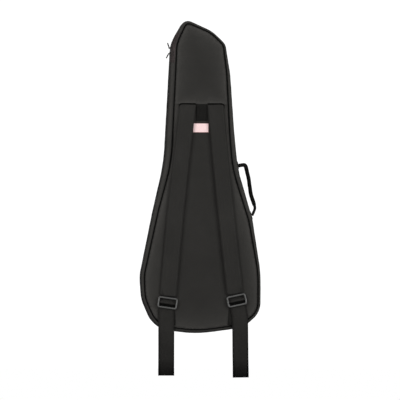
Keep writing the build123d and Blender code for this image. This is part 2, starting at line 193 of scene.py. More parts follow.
def surface(name, grid, closed=False, tube=False):
    """A mesh over a grid of points. closed joins its last row to its first, tube its columns."""
    grid = np.asarray(grid, float)
    rows, columns = grid.shape[:2]
    loop_rows = np.vstack([grid, grid[:1]]) if closed else grid
    loop_columns = np.concatenate([grid, grid[:, :1]], axis=1) if tube else grid
    lengths = np.linalg.norm(np.diff(loop_rows, axis=0), axis=2).mean(1)
    widths = np.linalg.norm(np.diff(loop_columns, axis=1), axis=2).mean(0)
    u = np.concatenate([[0], np.cumsum(lengths)])
    v = np.concatenate([[0], np.cumsum(widths)])
    faces, uvs = [], []
    for i in range(rows if closed else rows - 1):
        for k in range(columns if tube else columns - 1):
            corners = ((i, k), (i + 1, k), (i + 1, k + 1), (i, k + 1))
            faces.append([(a % rows) * columns + b % columns for a, b in corners])
            uvs.append([(u[a], v[b]) for a, b in corners])
    if tube and not closed:
        for i in (0, rows - 1):
            order = range(columns) if i else range(columns - 1, -1, -1)
            faces.append([i * columns + k for k in order])
            uvs.append([(u[i] + v[k] * 0.1, v[k]) for k in order])
    return make_object(name, grid.reshape(-1, 3), faces, uvs)


def face_outward(thing, centre=bag_centre):
    """Turns an open sheet's faces so that they look away from centre."""
    mesh = thing.data
    total = 0.0
    for face in mesh.polygons:
        total += face.normal.dot(face.center - Vector(centre * MM)) * face.area
    if total < 0:
        mesh.flip_normals()
    return thing


def set_painted_light(thing, values):
    """Per-vertex painted light and shade: above 0 the cloth is painted paler there as a painted highlight,
    below 0 it is painted darker as painted shade.
    """
    layer = thing.data.attributes.new("painted_light", "FLOAT", "POINT")
    layer.data.foreach_set("value", np.broadcast_to(values, len(thing.data.vertices)).astype(np.float32))
    return thing


def places(thing):
    """Vertex positions in millimetres."""
    co = np.empty(len(thing.data.vertices) * 3)
    thing.data.vertices.foreach_get("co", co)
    return co.reshape(-1, 3) / MM


def close_mesh(thing, weld=0.0, extra=()):
    """Adds extra objects' meshes, joins points closer than weld (metres) and turns the faces outward."""
    bm = bmesh.new()
    for part in (thing, *extra):
        bm.from_mesh(part.data)
    if weld:
        bmesh.ops.remove_doubles(bm, verts=bm.verts, dist=weld)
    bmesh.ops.recalc_face_normals(bm, faces=bm.faces)
    bm.to_mesh(thing.data)
    bm.free()
    for part in extra:
        bpy.data.objects.remove(part)
    return thing


def apply_modifiers(thing):
    bpy.context.view_layer.update()
    ready = thing.evaluated_get(bpy.context.evaluated_depsgraph_get())
    thing.data = bpy.data.meshes.new_from_object(ready)
    thing.modifiers.clear()
    return thing


def thicken(thing, thickness, offset=-1):
    """Gives an outward-facing sheet its thickness: on the inner side, or on both with offset 0."""
    solid = thing.modifiers.new("cloth", "SOLIDIFY")
    solid.thickness = thickness * MM
    solid.offset = offset
    return sharpen(apply_modifiers(thing))


def sharpen(thing, degrees=50):
    thing.data.set_sharp_from_angle(angle=math.radians(degrees))
    return thing


def ruffle(points, size, amount, seed):
    """Smooth random offsets, one per point: size is their width and amount their height."""
    return amount * np.array([noise.noise(Vector(p / size) + Vector((seed, 7.3 * seed, 0))) for p in points])


def at_depth(flat, y):
    """(x, z) points as 3-D points at depth y, one for all or one each."""
    return np.column_stack([flat[:, 0], np.broadcast_to(y, len(flat)), flat[:, 1]])


def ring(name, profile, rows=None, tube=False):
    """A surface along the bag's edge; profile lists (inset, y), insets may vary along the edge."""
    keep = np.arange(len(outline)) if rows is None else rows
    columns = []
    for inset, y in profile:
        inset = np.broadcast_to(inset, len(outline))[keep]
        flat = outline[keep] + way_in[keep] * inset[:, None]
        columns.append(at_depth(flat, np.broadcast_to(y, len(outline))[keep]))
    return surface(name, np.stack(columns, axis=1), closed=rows is None, tube=tube)


def loop_ring(name, loop, profile, tube=False):
    """The same along any closed loop of (x, z) points."""
    inward = inward_normals(loop)
    columns = [at_depth(loop + inward * inset, y) for inset, y in profile]
    return surface(name, np.stack(columns, axis=1), closed=True, tube=tube)


def inside(points, loop):
    ahead = np.roll(loop, -1, axis=0)
    crossings = np.zeros(len(points), int)
    for (x1, z1), (x2, z2) in zip(loop, ahead):
        if z1 == z2:
            continue
        spans = (points[:, 1] >= min(z1, z2)) & (points[:, 1] < max(z1, z2))
        x = x1 + (points[:, 1] - z1) * (x2 - x1) / (z2 - z1)
        crossings += spans & (x > points[:, 0])
    return crossings % 2 == 1


def sheet(name, border, depth, step, rim_highlight=0.9):
    """A triangulated sheet inside a border loop; depth gives y for (x, z) points, rim_highlight the strength
    of the painted highlight along its rim.
    """
    low, high = border.min(0), border.max(0)
    rows = np.arange(low[1], high[1], step * 0.87)
    lattice = np.array([
        (x + (r % 2) * step / 2, z)
        for r, z in enumerate(rows) for x in np.arange(low[0], high[0], step)
    ])
    _, gap = nearest(lattice, border)
    lattice = lattice[inside(lattice, border) & (gap > 0.6 * step)]
    flat = [Vector(p) for p in np.vstack([border, lattice])]
    edges = [(i, (i + 1) % len(border)) for i in range(len(border))]
    corners, _, faces, *_ = geometry.delaunay_2d_cdt(flat, edges, [list(range(len(border)))], 1, 1e-5)
    flat = np.array([tuple(p) for p in corners])
    y = depth(flat)
    points = at_depth(flat, y)
    uvs = [[tuple(flat[i]) for i in face] for face in faces]
    thing = make_object(name, points, faces, uvs)
    _, gap = nearest(flat, resample(border, 1.5))
    # Painted light: a painted highlight along the rim, fading inwards, and painted shade right at the border,
    # in the seam's valley.
    set_painted_light(thing, rim_highlight * np.exp(-gap / 6.5) + 0.62 * np.exp(-gap / 34) - 1.4 * np.exp(-gap / 0.9))
    _, gap = nearest(flat, border)
    pins = thing.vertex_groups.new(name="pins")
    pins.add([int(i) for i in np.flatnonzero(gap < 0.05)], 1.0, "REPLACE")
    return thing


def sweep(name, path, side, section, scale=None):
    """A closed section carried along a path. side is the section's first direction."""
    path = np.asarray(path, float)
    ahead = np.gradient(path, axis=0)
    ahead /= np.linalg.norm(ahead, axis=1)[:, None]
    side = np.broadcast_to(np.asarray(side, float), path.shape)
    side = side - ahead * (side * ahead).sum(1)[:, None]
    side = side / np.linalg.norm(side, axis=1)[:, None]
    out = np.cross(side, ahead)
    section = np.asarray(section, float)
    size = np.ones((len(path), 2)) if scale is None else np.asarray(scale, float)
    grid = (
        path[:, None]
        + side[:, None] * (section[None, :, 0] * size[:, :1])[..., None]
        + out[:, None] * (section[None, :, 1] * size[:, 1:])[..., None]
    )
    return close_mesh(sharpen(surface(name, grid, tube=True)))


def pillow(width, height, fullness=2.6, count=28):
    """A rounded flat section: a superellipse, squarer for a larger fullness."""
    turn = np.linspace(0, 2 * math.pi, count, endpoint=False)
    bend = 2 / fullness
    x = np.sign(np.cos(turn)) * np.abs(np.cos(turn)) ** bend * width / 2
    y = np.sign(np.sin(turn)) * np.abs(np.sin(turn)) ** bend * height / 2
    return np.stack([x, y], axis=1)


def ribbon_section(width, height, count=12):
    """Flat webbing: two straight faces and rounded selvedges."""
    edge = width / 2 - height / 2
    across = np.linspace(-edge, edge, count)
    turn = np.linspace(-math.pi / 2, math.pi / 2, 5)[1:-1]
    right = [(edge + height / 2 * math.cos(a), height / 2 * math.sin(a)) for a in turn]
    lower = [(x, -height / 2) for x in across]
    upper = [(x, height / 2) for x in across[::-1]]
    left = [(-x, -y) for x, y in right]
    return np.array(lower + right + upper + left)


def box_part(name, size, place, axes, bevel, segments=3):
    """A bevelled block, its sides along axes (three unit vectors)."""
    bm = bmesh.new()
    bmesh.ops.create_cube(bm, size=1.0)
    for v in bm.verts:
        local = [c * s for c, s in zip(v.co, size)]
        v.co = Vector(sum((np.array(a) * c for a, c in zip(axes, local)), np.array(place, float)) * MM)
    bmesh.ops.bevel(
        bm, geom=bm.edges[:], offset=bevel * MM, segments=segments, profile=0.5, affect="EDGES",
    )
    bmesh.ops.recalc_face_normals(bm, faces=bm.faces)
    mesh = bpy.data.meshes.new(name)
    bm.to_mesh(mesh)
    bm.free()
    mesh.polygons.foreach_set("use_smooth", [True] * len(mesh.polygons))
    return sharpen(put_in_scene(name, mesh), 40)


def unite(name, parts):
    """One solid from overlapping closed parts."""
    first = parts[0]
    for other in parts[1:]:
        joined = first.modifiers.new("join", "BOOLEAN")
        joined.operation = "UNION"
        joined.solver = "EXACT"
        joined.object = other
    apply_modifiers(first)
    for other in parts[1:]:
        bpy.data.objects.remove(other)
    first.name = name
    first.data.polygons.foreach_set("use_smooth", [True] * len(first.data.polygons))
    return sharpen(first, 40)


def merge(name, parts):
    """One mesh from several separate parts, kept as they are."""
    bm = bmesh.new()
    for part in parts:
        bm.from_mesh(part.data)
    mesh = bpy.data.meshes.new(name)
    bm.to_mesh(mesh)
    bm.free()
    for part in parts:
        bpy.data.objects.remove(part)
    return sharpen(put_in_scene(name, mesh))


def add_rings(points, faces, uvs, rings):
    """Adds one small closed body, made of rings of points, to the lists of a mesh."""
    base, count = len(points), len(rings[0])
    for one in rings:
        points.extend(one)
    for r in range(len(rings) - 1):
        start = base + r * count
        for a in range(count):
            b = (a + 1) % count
            faces.append([start + a, start + b, start + count + b, start + count + a])
            uvs.append([(0, 0), (1, 0), (1, 1), (0, 1)])
    faces.append([base + a for a in range(count - 1, -1, -1)])
    faces.append([base + (len(rings) - 1) * count + a for a in range(count)])
    uvs += [[(0, 0)] * count] * 2


def stitches(name, line, out, pitch=4.2, length=2.9, radius=0.34, closed=False):
    """A row of thread stitches along a 3-D line; out points away from the cloth."""
    line = np.asarray(line, float)
    out = np.broadcast_to(np.asarray(out, float), line.shape)
    if closed:
        line = np.vstack([line, line[:1]])
        out = np.vstack([out, out[:1]])
    along = np.concatenate([[0], np.cumsum(np.linalg.norm(np.diff(line, axis=0), axis=1))])
    middles = np.arange(pitch / 2, along[-1], pitch)
    points, faces, uvs = [], [], []
    waist = ((-0.5, 0.15, -0.5), (-0.3, 0.9, 0.1), (0.3, 0.9, 0.1), (0.5, 0.15, -0.5))
    for m in middles:
        ends = [np.array([np.interp(m + s * length, along, c) for c in line.T]) for s in (-0.5, 0.5)]
        up = np.array([np.interp(m, along, c) for c in out.T])
        ahead = (ends[1] - ends[0]) / max(np.linalg.norm(ends[1] - ends[0]), 1e-6)
        up = up - ahead * (up @ ahead)
        up /= np.linalg.norm(up)
        side = np.cross(ahead, up)
        middle = (ends[0] + ends[1]) / 2
        arms = [side * math.cos(turn) + up * math.sin(turn) for turn in np.arange(5) * 2 * math.pi / 5]
        add_rings(points, faces, uvs, [
            [middle + ahead * at * length + (arm * wide + up * rise) * radius for arm in arms]
            for at, wide, rise in waist
        ])
    return close_mesh(make_object(name, points, faces, uvs))


# ---- materials ---------------------------------------------------------------------------

def add_node(tree, kind, inputs=(), **settings):
    node = tree.nodes.new(kind)
    for key, value in settings.items():
        setattr(node, key, value)
    for key, value in dict(inputs).items():
        if isinstance(value, bpy.types.NodeSocket):
            tree.links.new(value, node.inputs[key])
        else:
            node.inputs[key].default_value = value
    return node


def maths(tree, operation, first, second=0.0):
    return add_node(tree, "ShaderNodeMath", {0: first, 1: second}, operation=operation).outputs[0]


def ramp(tree, value, source, target):
    """The value, carried from the source range to the target range."""
    limits = dict(zip(("From Min", "From Max", "To Min", "To Max"), (*source, *target)))
    return add_node(tree, "ShaderNodeMapRange", {"Value": value, **limits}).outputs[0]


def shade_by(tree, colour, strength):
    """The colour multiplied by a strength."""
    lit = add_node(tree, "ShaderNodeMix", {"Factor": 1.0, 6: colour, 7: strength},
                   data_type="RGBA", blend_type="MULTIPLY")
    return lit.outputs[2]


def blank_material(name):
    made = bpy.data.materials.new(name)
    made.use_nodes = True
    made.node_tree.nodes.clear()
    return made, made.node_tree


def finish_material(tree, colour, roughness, height, distance, **extra):
    """Principled surface with a bump from height, distance in millimetres."""
    bump = add_node(tree, "ShaderNodeBump", {"Strength": 1.0, "Distance": distance * MM, "Height": height})
    inputs = {"Base Color": colour, "Roughness": roughness, "Normal": bump.outputs[0]}
    inputs.update(extra)
    shader = add_node(tree, "ShaderNodeBsdfPrincipled", inputs)
    output = add_node(tree, "ShaderNodeOutputMaterial")
    tree.links.new(shader.outputs[0], output.inputs["Surface"])


def tinted(tree, colour, size, amount, wear=0.0):
    """The colour, darker and lighter in soft patches, times the painted light and shade held in each vertex,
    with a little dusty wear.
    """
    place = add_node(tree, "ShaderNodeTexCoord").outputs["Object"]
    patches = add_node(tree, "ShaderNodeTexNoise", {"Vector": place, "Scale": 1000 / size, "Detail": 4.0})
    spread = ramp(tree, patches.outputs[0], (0.25, 0.75), (1 - amount, 1 + amount))
    # Painted light: the per-vertex attribute brightens painted highlights and darkens painted shade.
    painted_light = add_node(tree, "ShaderNodeAttribute", attribute_name="painted_light").outputs["Fac"]
    strength = maths(tree, "MULTIPLY", spread, maths(tree, "ADD", painted_light, 1.0))
    lit = shade_by(tree, (*colour, 1.0), strength)
    if not wear:
        return lit
    specks = add_node(tree, "ShaderNodeTexNoise", {"Vector": place, "Scale": 900.0, "Detail": 2.0})
    dusty = ramp(tree, specks.outputs[0], (0.62, 0.85), (0.0, wear))
    dust = (0.20, 0.19, 0.18, 1)
    dust_and_painted_shade = add_node(tree, "ShaderNodeMix", {"Factor": dusty, 6: lit, 7: dust}, data_type="RGBA")
    return dust_and_painted_shade.outputs[2]


def weave_height(tree, along, across):
    """Height of a plain weave with the given thread spacings."""
    uv = add_node(tree, "ShaderNodeUVMap", uv_map="weave").outputs[0]
    directions = add_node(tree, "ShaderNodeSeparateXYZ", {0: uv}).outputs
    threads = []
    for direction, spacing in zip(directions, (along, across)):
        turn = maths(tree, "MULTIPLY", direction, math.pi * 1000 / spacing)
        threads.append(maths(tree, "ABSOLUTE", maths(tree, "SINE", turn)))
    warp, weft = threads
    cell = add_node(tree, "ShaderNodeMapping", {"Vector": uv, "Scale": (1000 / along, 1000 / across, 1.0)})
    over = add_node(tree, "ShaderNodeTexChecker", {"Vector": cell.outputs[0], "Scale": 1.0})
    chosen = add_node(tree, "ShaderNodeMix", {0: over.outputs["Fac"], 2: warp, 3: weft}, data_type="FLOAT")
    return chosen.outputs[0]


def cloth(
    name, colour, along=1.3, across=1.3, relief=0.12, roughness=0.8, sheen=0.25, patches=90, wear=0.25,
):
    """Woven cloth; along and across are its thread spacings in millimetres."""
    made, tree = blank_material(name)
    shade = tinted(tree, colour, patches, 0.10, wear)
    height = weave_height(tree, along, across)
    # Painted shade in the weave: the hollows between threads darker, the thread tops paler.
    shaded = shade_by(tree, shade, ramp(tree, height, (0.0, 1.0), (0.72, 1.12)))
    finish_material(tree, shaded, roughness, height, relief, **{
        "Specular IOR Level": 0.04, "Sheen Weight": sheen, "Sheen Roughness": 0.45,
    })
    return made


def dotted(name, colour, spot, size, relief, roughness=0.8, sheen=0.0):
    """Cloth or rubber with a field of cells, spot coloured in their middles."""
    made, tree = blank_material(name)
    uv = add_node(tree, "ShaderNodeUVMap", uv_map="weave").outputs[0]
    cells = add_node(tree, "ShaderNodeTexVoronoi", {"Vector": uv, "Scale": 1000 / size, "Randomness": 0.35})
    middle = ramp(tree, cells.outputs["Distance"], (0.15, 0.5), (1.0, 0.0))
    base = tinted(tree, colour, 25, 0.25)
    tones = {"Factor": middle, 6: base, 7: (*spot, 1)}
    mixed = add_node(tree, "ShaderNodeMix", tones, data_type="RGBA")
    height = maths(tree, "MULTIPLY", middle, -1.0)
    finish_material(tree, mixed.outputs[2], roughness, height, relief, **{
        "Specular IOR Level": 0.3, "Sheen Weight": sheen,
    })
    return made


def grained(name, colour, size, relief, roughness, metallic=0.0, sheen=0.0, patches=12):
    """Plastic, metal, foam or plush: fine noise relief and slightly uneven gloss."""
    made, tree = blank_material(name)
    place = add_node(tree, "ShaderNodeTexCoord").outputs["Object"]
    grain = add_node(tree, "ShaderNodeTexNoise", {"Vector": place, "Scale": 1000 / size, "Detail": 5.0})
    gloss = ramp(tree, grain.outputs[0], (0.0, 1.0), (roughness - 0.08, roughness + 0.08))
    finish_material(tree, tinted(tree, colour, patches, 0.12), gloss, grain.outputs[0], relief, **{
        "Metallic": metallic, "Sheen Weight": sheen,
    })
    return made


MATERIALS = {
    "bag_nylon": cloth("bag_nylon", (0.0258, 0.0249, 0.0233), relief=0.10, sheen=0.01),
    # Near-black, far darker than the bag's cloth: painted shade for the dark valleys along the seams, used on
    # the piping cords and the yoke's lap edge.
    "piping": cloth(
        "piping", (0.0030, 0.0030, 0.0028), along=1.0, across=0.8, relief=0.08, sheen=0.0, wear=0.05,
    ),
    "binding": cloth("binding", (0.0225, 0.0217, 0.0202), along=2.2, across=0.9, relief=0.12, sheen=0.03),
    "foam": grained("foam", (0.030, 0.030, 0.031), 1.2, 0.25, 0.9),
    "lining": grained("lining", (0.035, 0.035, 0.038), 0.7, 0.5, 0.95, sheen=0.6),
    "air_mesh": dotted("air_mesh", (0.018, 0.018, 0.018), (0.003, 0.003, 0.003), 2.4, 0.6, sheen=0.2),
    "webbing": cloth(
        "webbing", (0.0275, 0.0265, 0.0247), along=3.2, across=1.7, relief=0.30, sheen=0.01, patches=60,
    ),
    "handle_grip": cloth("handle_grip", (0.0045, 0.0045, 0.0040), relief=0.10, sheen=0.0, wear=0.1),
    "scuff_guard": dotted(
        "scuff_guard", (0.034, 0.025, 0.024), (0.003, 0.002, 0.002), 6.0, 0.7, roughness=0.7,
    ),
    "label": cloth(
        "label", (0.96, 0.72, 0.71), along=0.7, across=0.35, relief=0.05, roughness=0.55, sheen=0.1, wear=0.0,
    ),
    "zip_tape": cloth(
        "zip_tape", (0.0060, 0.0060, 0.0058), along=1.6, across=0.8, relief=0.12, sheen=0.0, wear=0.0,
    ),
    "zip_teeth": grained("zip_teeth", (0.0080, 0.0080, 0.0080), 0.8, 0.05, 0.4),
    "zip_metal": grained("zip_metal", (0.13, 0.13, 0.125), 1.5, 0.04, 0.42, metallic=0.6),
    "pull_metal": grained("pull_metal", (0.055, 0.055, 0.052), 1.5, 0.04, 0.5, metallic=0.35),
    "buckle_plastic": grained("buckle_plastic", (0.075, 0.075, 0.073), 0.8, 0.05, 0.30),
    "thread": grained("thread", (0.018, 0.018, 0.017), 0.5, 0.05, 0.6),
    "pale_thread": grained("pale_thread", (0.065, 0.063, 0.058), 0.5, 0.05, 0.6),
    "label_edge": grained("label_edge", (0.10, 0.022, 0.018), 0.5, 0.05, 0.7),
}


def dress(thing, finish, body=None, stands_for=()):
    """Material, slot, the CAD nodes the piece stands for, and the body it rides on."""
    thing.data.materials.clear()
    thing.data.materials.append(MATERIALS[finish])
    if stands_for:
        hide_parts(*stands_for)
    if body:
        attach(thing, body)
    return thing


# ---- the two padded halves ---------------------------------------------------------------

nylon = 1.1                 # thickness of the outer cloth
pocket_nylon = 1.0          # and of the pocket's and the straps' cloth
cord_radius = 1.65          # of the main piping
pocket_cord_radius = 1.6
seam_sink = 1.6             # how far the panel's edge sits below its flat face, beside the piping
panel_rise = {-1: 3.5, 1: 4.6}      # how far the padding lifts the panel's middle above that edge
panel_fade = 11.0           # distance over which it rises
shoulder_y = 29.0           # |y| where the gusset's padding starts to round over


def panel_depth(side, points, seam=None):
    """y of a main panel: quickly up from the piping, then nearly flat, pinched at a cross seam."""
    _, gap = nearest(points, resample(panel_loop, 1.5))
    rise = panel_rise[side] * (1 - np.exp(-gap / panel_fade))
    spots = np.column_stack([points, np.zeros(len(points))])
    rise += ruffle(spots, 130, 0.5, 3 + side) * np.minimum(gap / 30, 1)
    rise += ruffle(spots, 34, 0.22, 5 + side) * np.exp(-gap / 22) * np.minimum(gap / 6, 1)
    if seam is not None:
        rise -= 1.6 * np.exp(-np.abs(points[:, 1] - seam) / 7) * np.minimum(gap / 8, 1)
    return side * (panel_y - seam_sink + rise)


def gusset_profile(side):
    """From the hem beside the zip, over the padded shoulder, down into the piping seam."""
    hem = [(2.2, zip_edge + 0.6), (0.9, zip_edge - 0.2), (0.5, zip_edge + 0.8), (0.35, zip_edge + 3.0)]
    profile = [(inset, side * y) for inset, y in hem]
    bulge = np.linspace(0, 1, 5)[1:]
    for t in bulge:
        y = zip_edge + 3.0 + t * (shoulder_y - zip_edge - 3.0)
        profile.append((0.35 - 0.75 * math.sin(t * math.pi / 2), side * y))
    for turn in np.linspace(0, math.pi / 2, 13)[1:]:
        inset = -0.4 + (seam_in - 0.5) * (1 - math.cos(turn)) ** 0.9
        y = shoulder_y + (panel_y + 0.9 - shoulder_y) * math.sin(turn) ** 0.92
        profile.append((inset, side * y))
    profile.append((seam_in + 0.3, side * (panel_y - 0.6)))
    profile.append((seam_in + 0.9, side * (panel_y - 1.8)))
    return profile


def crinkle(thing, amount, size, seed, fixed=None):
    """Small random swellings along the normals; fixed marks points that stay."""
    mesh = thing.data
    count = len(mesh.vertices)
    co = np.zeros(count * 3)
    normals = np.zeros(count * 3)
    mesh.vertices.foreach_get("co", co)
    mesh.vertices.foreach_get("normal", normals)
    co, normals = co.reshape(-1, 3), normals.reshape(-1, 3)
    push = ruffle(co / MM, size, amount * MM, seed)
    if fixed is not None:
        push[fixed(co / MM)] = 0
    mesh.vertices.foreach_set("co", (co + normals * push[:, None]).ravel())
    return thing


def half(side, name, body):
    gusset = face_outward(ring(f"{name}_gusset_cloth", gusset_profile(side)))
    # Painted light across the gusset: painted shade at the hem, the outer edge and down into the piping seam,
    # a painted highlight over the padded shoulder.
    tones = [-0.8] * 4 + [-0.75, -0.7, -0.65, -0.5] + list(1.15 * np.sin(np.linspace(0.1, 3.0, 12)) - 0.3)
    set_painted_light(gusset, np.tile(tones + [-0.8, -0.8], len(outline)))
    crinkle(gusset, 0.45, 26, side + 11)
    crinkle(gusset, 0.20, 9, side + 17)
    dress(thicken(gusset, nylon), "bag_nylon", body, [f"{name}_gusset"])

    cord = []
    for turn in np.linspace(0, 2 * math.pi, 12, endpoint=False):
        cord.append((
            seam_in + piping_width / 2 - 0.4 + cord_radius * math.cos(turn),
            side * (panel_y + piping_height / 2 - 0.3 + cord_radius * math.sin(turn)),
        ))
    piping = close_mesh(ring(f"{name}_piping_cord", cord, tube=True))
    crinkle(piping, 0.12, 7, side + 23)
    dress(piping, "piping", body, [f"{name}_piping"])

    foam_wall = box(f"{name}_foam")
    floor = max(abs(foam_wall[0][1]), abs(foam_wall[1][1]))
    wall = [(6.0, zip_edge + 0.5), (6.0, 22.0), (6.4, 29.0), (8.4, 34.0), (12.0, floor - 5.2)]
    foam = face_outward(tray(f"{name}_foam_pad", side, wall, floor - 4.7))
    crinkle(foam, 0.3, 12, side + 29)
    dress(thicken(foam, 8.2, 0), "foam", body, [f"{name}_foam"])

    lining_wall = [(10.8, zip_edge + 0.4), (10.9, 20.0), (11.2, 26.0), (13.0, 30.0), (17.5, floor - 9.6)]
    lining = face_outward(tray(f"{name}_lining_plush", side, lining_wall, floor - 9.4))
    crinkle(lining, 0.35, 30, side + 31)
    dress(thicken(lining, 0.8), "lining", body, [f"{name}_lining"])

    # The tape runs in behind the teeth and nearly meets the other half's, so the shut zip is opaque.
    tape = ((2.4, 0.3), (2.3, 2.8), (1.0, 5.2), (0.6, 9.0), (0.8, zip_edge - 0.1), (1.7, zip_edge + 0.4))
    tape_profile = [(inset, side * y) for inset, y in tape]
    tape_cloth = face_outward(ring(f"zip_tape_{name}_cloth", tape_profile, rows=zip_rows))
    dress(thicken(tape_cloth, 0.8), "zip_tape", body, [f"zip_tape_{name}"])
    dress(coil(f"zip_coil_{name}", side), "zip_teeth", body, [f"zip_teeth_{name}"])

    flat = outline + way_in * 0.45
    line = at_depth(flat, side * (zip_edge + 2.2))
    dress(stitches(f"{name}_zip_seam_thread", line, at_depth(-way_in, 0.0), closed=True), "thread", body)


def tray(name, side, wall, floor_y):
    """A lining-like surface: a wall along the bag's edge, rounding into a flat floor."""
    profile = [(inset, side * y) for inset, y in wall]
    edge = outline + way_in * wall[-1][0] + way_in * 2.0
    profile.append((wall[-1][0] + 2.0, side * floor_y))
    flat = sheet(name + "_floor", edge, lambda p: np.full(len(p), side * floor_y), 14.0)
    return close_mesh(ring(name, profile), 1e-5, [flat])


spine_low, spine_high = box("spine_web")[0][2], box("spine_web")[1][2]
on_spine = (outline[:, 0] > 60) & (outline[:, 1] > spine_low) & (outline[:, 1] < spine_high)
first_after_spine = int(np.flatnonzero(on_spine & ~np.roll(on_spine, -1))[0]) + 1
ordered = np.roll(np.arange(len(outline)), -first_after_spine)
spine_rows = ordered[on_spine[ordered]]
# The zip reaches the spine's first and last rows, so no hole is left between them.
zip_rows = np.concatenate([spine_rows[-1:], ordered[~on_spine[ordered]], spine_rows[:1]])
tooth_top = 4.0
tooth_pitch = 2.6


def coil(name, side):
    """The zip's row of nylon teeth: small rounded bars across the edge of the tape."""
    line = outline[zip_rows]
    along = np.concatenate([[0], np.cumsum(np.linalg.norm(np.diff(line, axis=0), axis=1))])
    shift = tooth_pitch / 2 if side > 0 else 0
    middles = np.arange(1.0 + shift, along[-1] - 1.0, tooth_pitch)
    ahead = np.gradient(line, axis=0)
    ahead /= np.linalg.norm(ahead, axis=1)[:, None]
    points, faces, uvs = [], [], []
    # Each tooth reaches past the middle, between two teeth of the other half.
    shape = ((-0.8, 0.6), (0.3, 0.95), (1.3, 1.0), (3.4, 0.85), (tooth_top, 0.5))
    for m in middles:
        x, z = (np.interp(m, along, line[:, k]) for k in (0, 1))
        tx, tz = (np.interp(m, along, ahead[:, k]) for k in (0, 1))
        nx, nz = tz, -tx
        rings = []
        for y, size in shape:
            one = []
            for turn in np.arange(6) * 2 * math.pi / 6:
                run = 0.85 * size * math.cos(turn)
                inset = 0.6 + 1.25 * size * math.sin(turn)
                one.append((x + tx * run + nx * inset, side * y, z + tz * run + nz * inset))
            rings.append(one)
        add_rings(points, faces, uvs, rings)
    return close_mesh(make_object(name, points, faces, uvs))


half(-1, "back", "back_half")
half(1, "front", "lid")

# Main panels. The back one is cut at the cross seam, and its upper part laps over the straps' tops.
front_panel = face_outward(sheet("front_panel_cloth", panel_loop, lambda p: panel_depth(1, p), 6.0))


def cut_loop(loop, z, keep_above):
    """The part of a loop above or below z, closed along the cut."""
    keep = loop[:, 1] > z if keep_above else loop[:, 1] < z
    start = int(np.flatnonzero(keep & ~np.roll(keep, 1))[0])
    part = np.roll(loop, -start, axis=0)[:int(keep.sum())]
    first, last = part[0], part[-1]
    first, last = np.array([first[0], z]), np.array([last[0], z])
    cut = resample(np.array([last, first]), 4.0, closed=False)
    return np.vstack([part, cut])


def over_straps(x):
    """1 over the tops of the two straps, 0 beside them."""
    cover = np.zeros(len(x))
    for name in ("left", "right"):
        middle = joint(f"strap_{name}_swing")[1][0]
        cover += 1 / (1 + np.exp((np.abs(x - middle) - 29) / 2.2))
    return cover


def upper_depth(points):
    base = panel_depth(-1, points, seam_z)
    lift = 8.0 * over_straps(points[:, 0]) * np.exp(-np.maximum(points[:, 1] - seam_z, 0) / 13)
    return base - lift - 1.0 * np.exp(-np.maximum(points[:, 1] - seam_z, 0) / 5)


back_lower = face_outward(sheet(
    "back_panel_lower_cloth", cut_loop(panel_loop, seam_z + 4, False),
    lambda p: panel_depth(-1, p, seam_z), 6.0,
))
back_upper = face_outward(sheet(
    "back_panel_upper_cloth", cut_loop(panel_loop, seam_z - 2, True), upper_depth, 5.0,
))


# A turned edge where the upper panel laps over each strap, made near-black as painted shadow under the lap;
# its outer end runs down the strap.
for name, outward in (("left", -1), ("right", 1)):
    middle_x = joint(f"strap_{name}_swing")[1][0]
    inner_x, outer_x = middle_x - outward * 27, middle_x + outward * 27
    edge_path = rounded([
        (inner_x, -53.6, seam_z - 0.4), (outer_x - outward * 6, -54.2, seam_z - 0.4),
        (outer_x, -51.5, seam_z - 3.4), (outer_x + outward * 1.5, -47.8, seam_z - 15),
    ], 5, 1.0)
    thinning = np.interp(edge_path[:, 2], [seam_z - 15, seam_z - 3], [0.45, 1])
    taper = np.column_stack([np.ones(len(edge_path)), thinning])
    hem = sweep(f"yoke_lap_shadow_{name}", edge_path, (0, 1, 0), pillow(3.0, 4.0, 2.2, 14), taper)
    dress(crinkle(hem, 0.3, 9, 37), "piping", "back_half")


cloth_frames = 20           # frames that the cloth simulation runs for


def simulate(cloths):
    """Inflates pinned sheets a little as cloth, all at once; each keeps at most its cap of movement."""
    scene = bpy.context.scene
    rest = {}
    for thing, cap in cloths:
        rest[thing.name] = np.array([v.co for v in thing.data.vertices])
        modifier = thing.modifiers.new("Cloth", "CLOTH")
        settings = modifier.settings
        settings.quality = 4
        settings.mass = 0.25
        settings.tension_stiffness = 12
        settings.compression_stiffness = 12
        settings.shear_stiffness = 4
        settings.bending_stiffness = 0.4
        settings.shrink_min = -0.012
        settings.use_pressure = True
        settings.uniform_pressure_force = 4.0
        settings.effector_weights.gravity = 0
        settings.vertex_group_mass = "pins"
        modifier.point_cache.frame_start = 1
        modifier.point_cache.frame_end = cloth_frames
    for number in range(1, cloth_frames + 1):
        scene.frame_set(number)
    graph = bpy.context.evaluated_depsgraph_get()
    for thing, cap in cloths:
        moved = np.array([v.co for v in thing.evaluated_get(graph).data.vertices])
        thing.modifiers.clear()
        shift = moved - rest[thing.name]
        far = np.linalg.norm(shift, axis=1)
        limit = cap * MM * np.tanh(far / (cap * MM)) / np.maximum(far, 1e-9)
        thing.data.vertices.foreach_set("co", (rest[thing.name] + shift * limit[:, None]).ravel())
        thing.data.update()
    scene.frame_set(1)


# ---- front pocket ------------------------------------------------------------------------

pocket_low, pocket_high = box("pocket_gusset")
pocket_floor, pocket_face = pocket_low[1], pocket_high[1]
pocket_loop = smooth(resample(border_loop("pocket_gusset", pocket_face), 4.0), 1)
zip_low, zip_high = box("pocket_zip_tape")[0][2], box("pocket_zip_tape")[1][2]
pocket_zip_z = (zip_low + zip_high) / 2
inner = inward_normals(pocket_loop)
pocket_edge = resample(pocket_loop + inner * 3.7, 4.0)


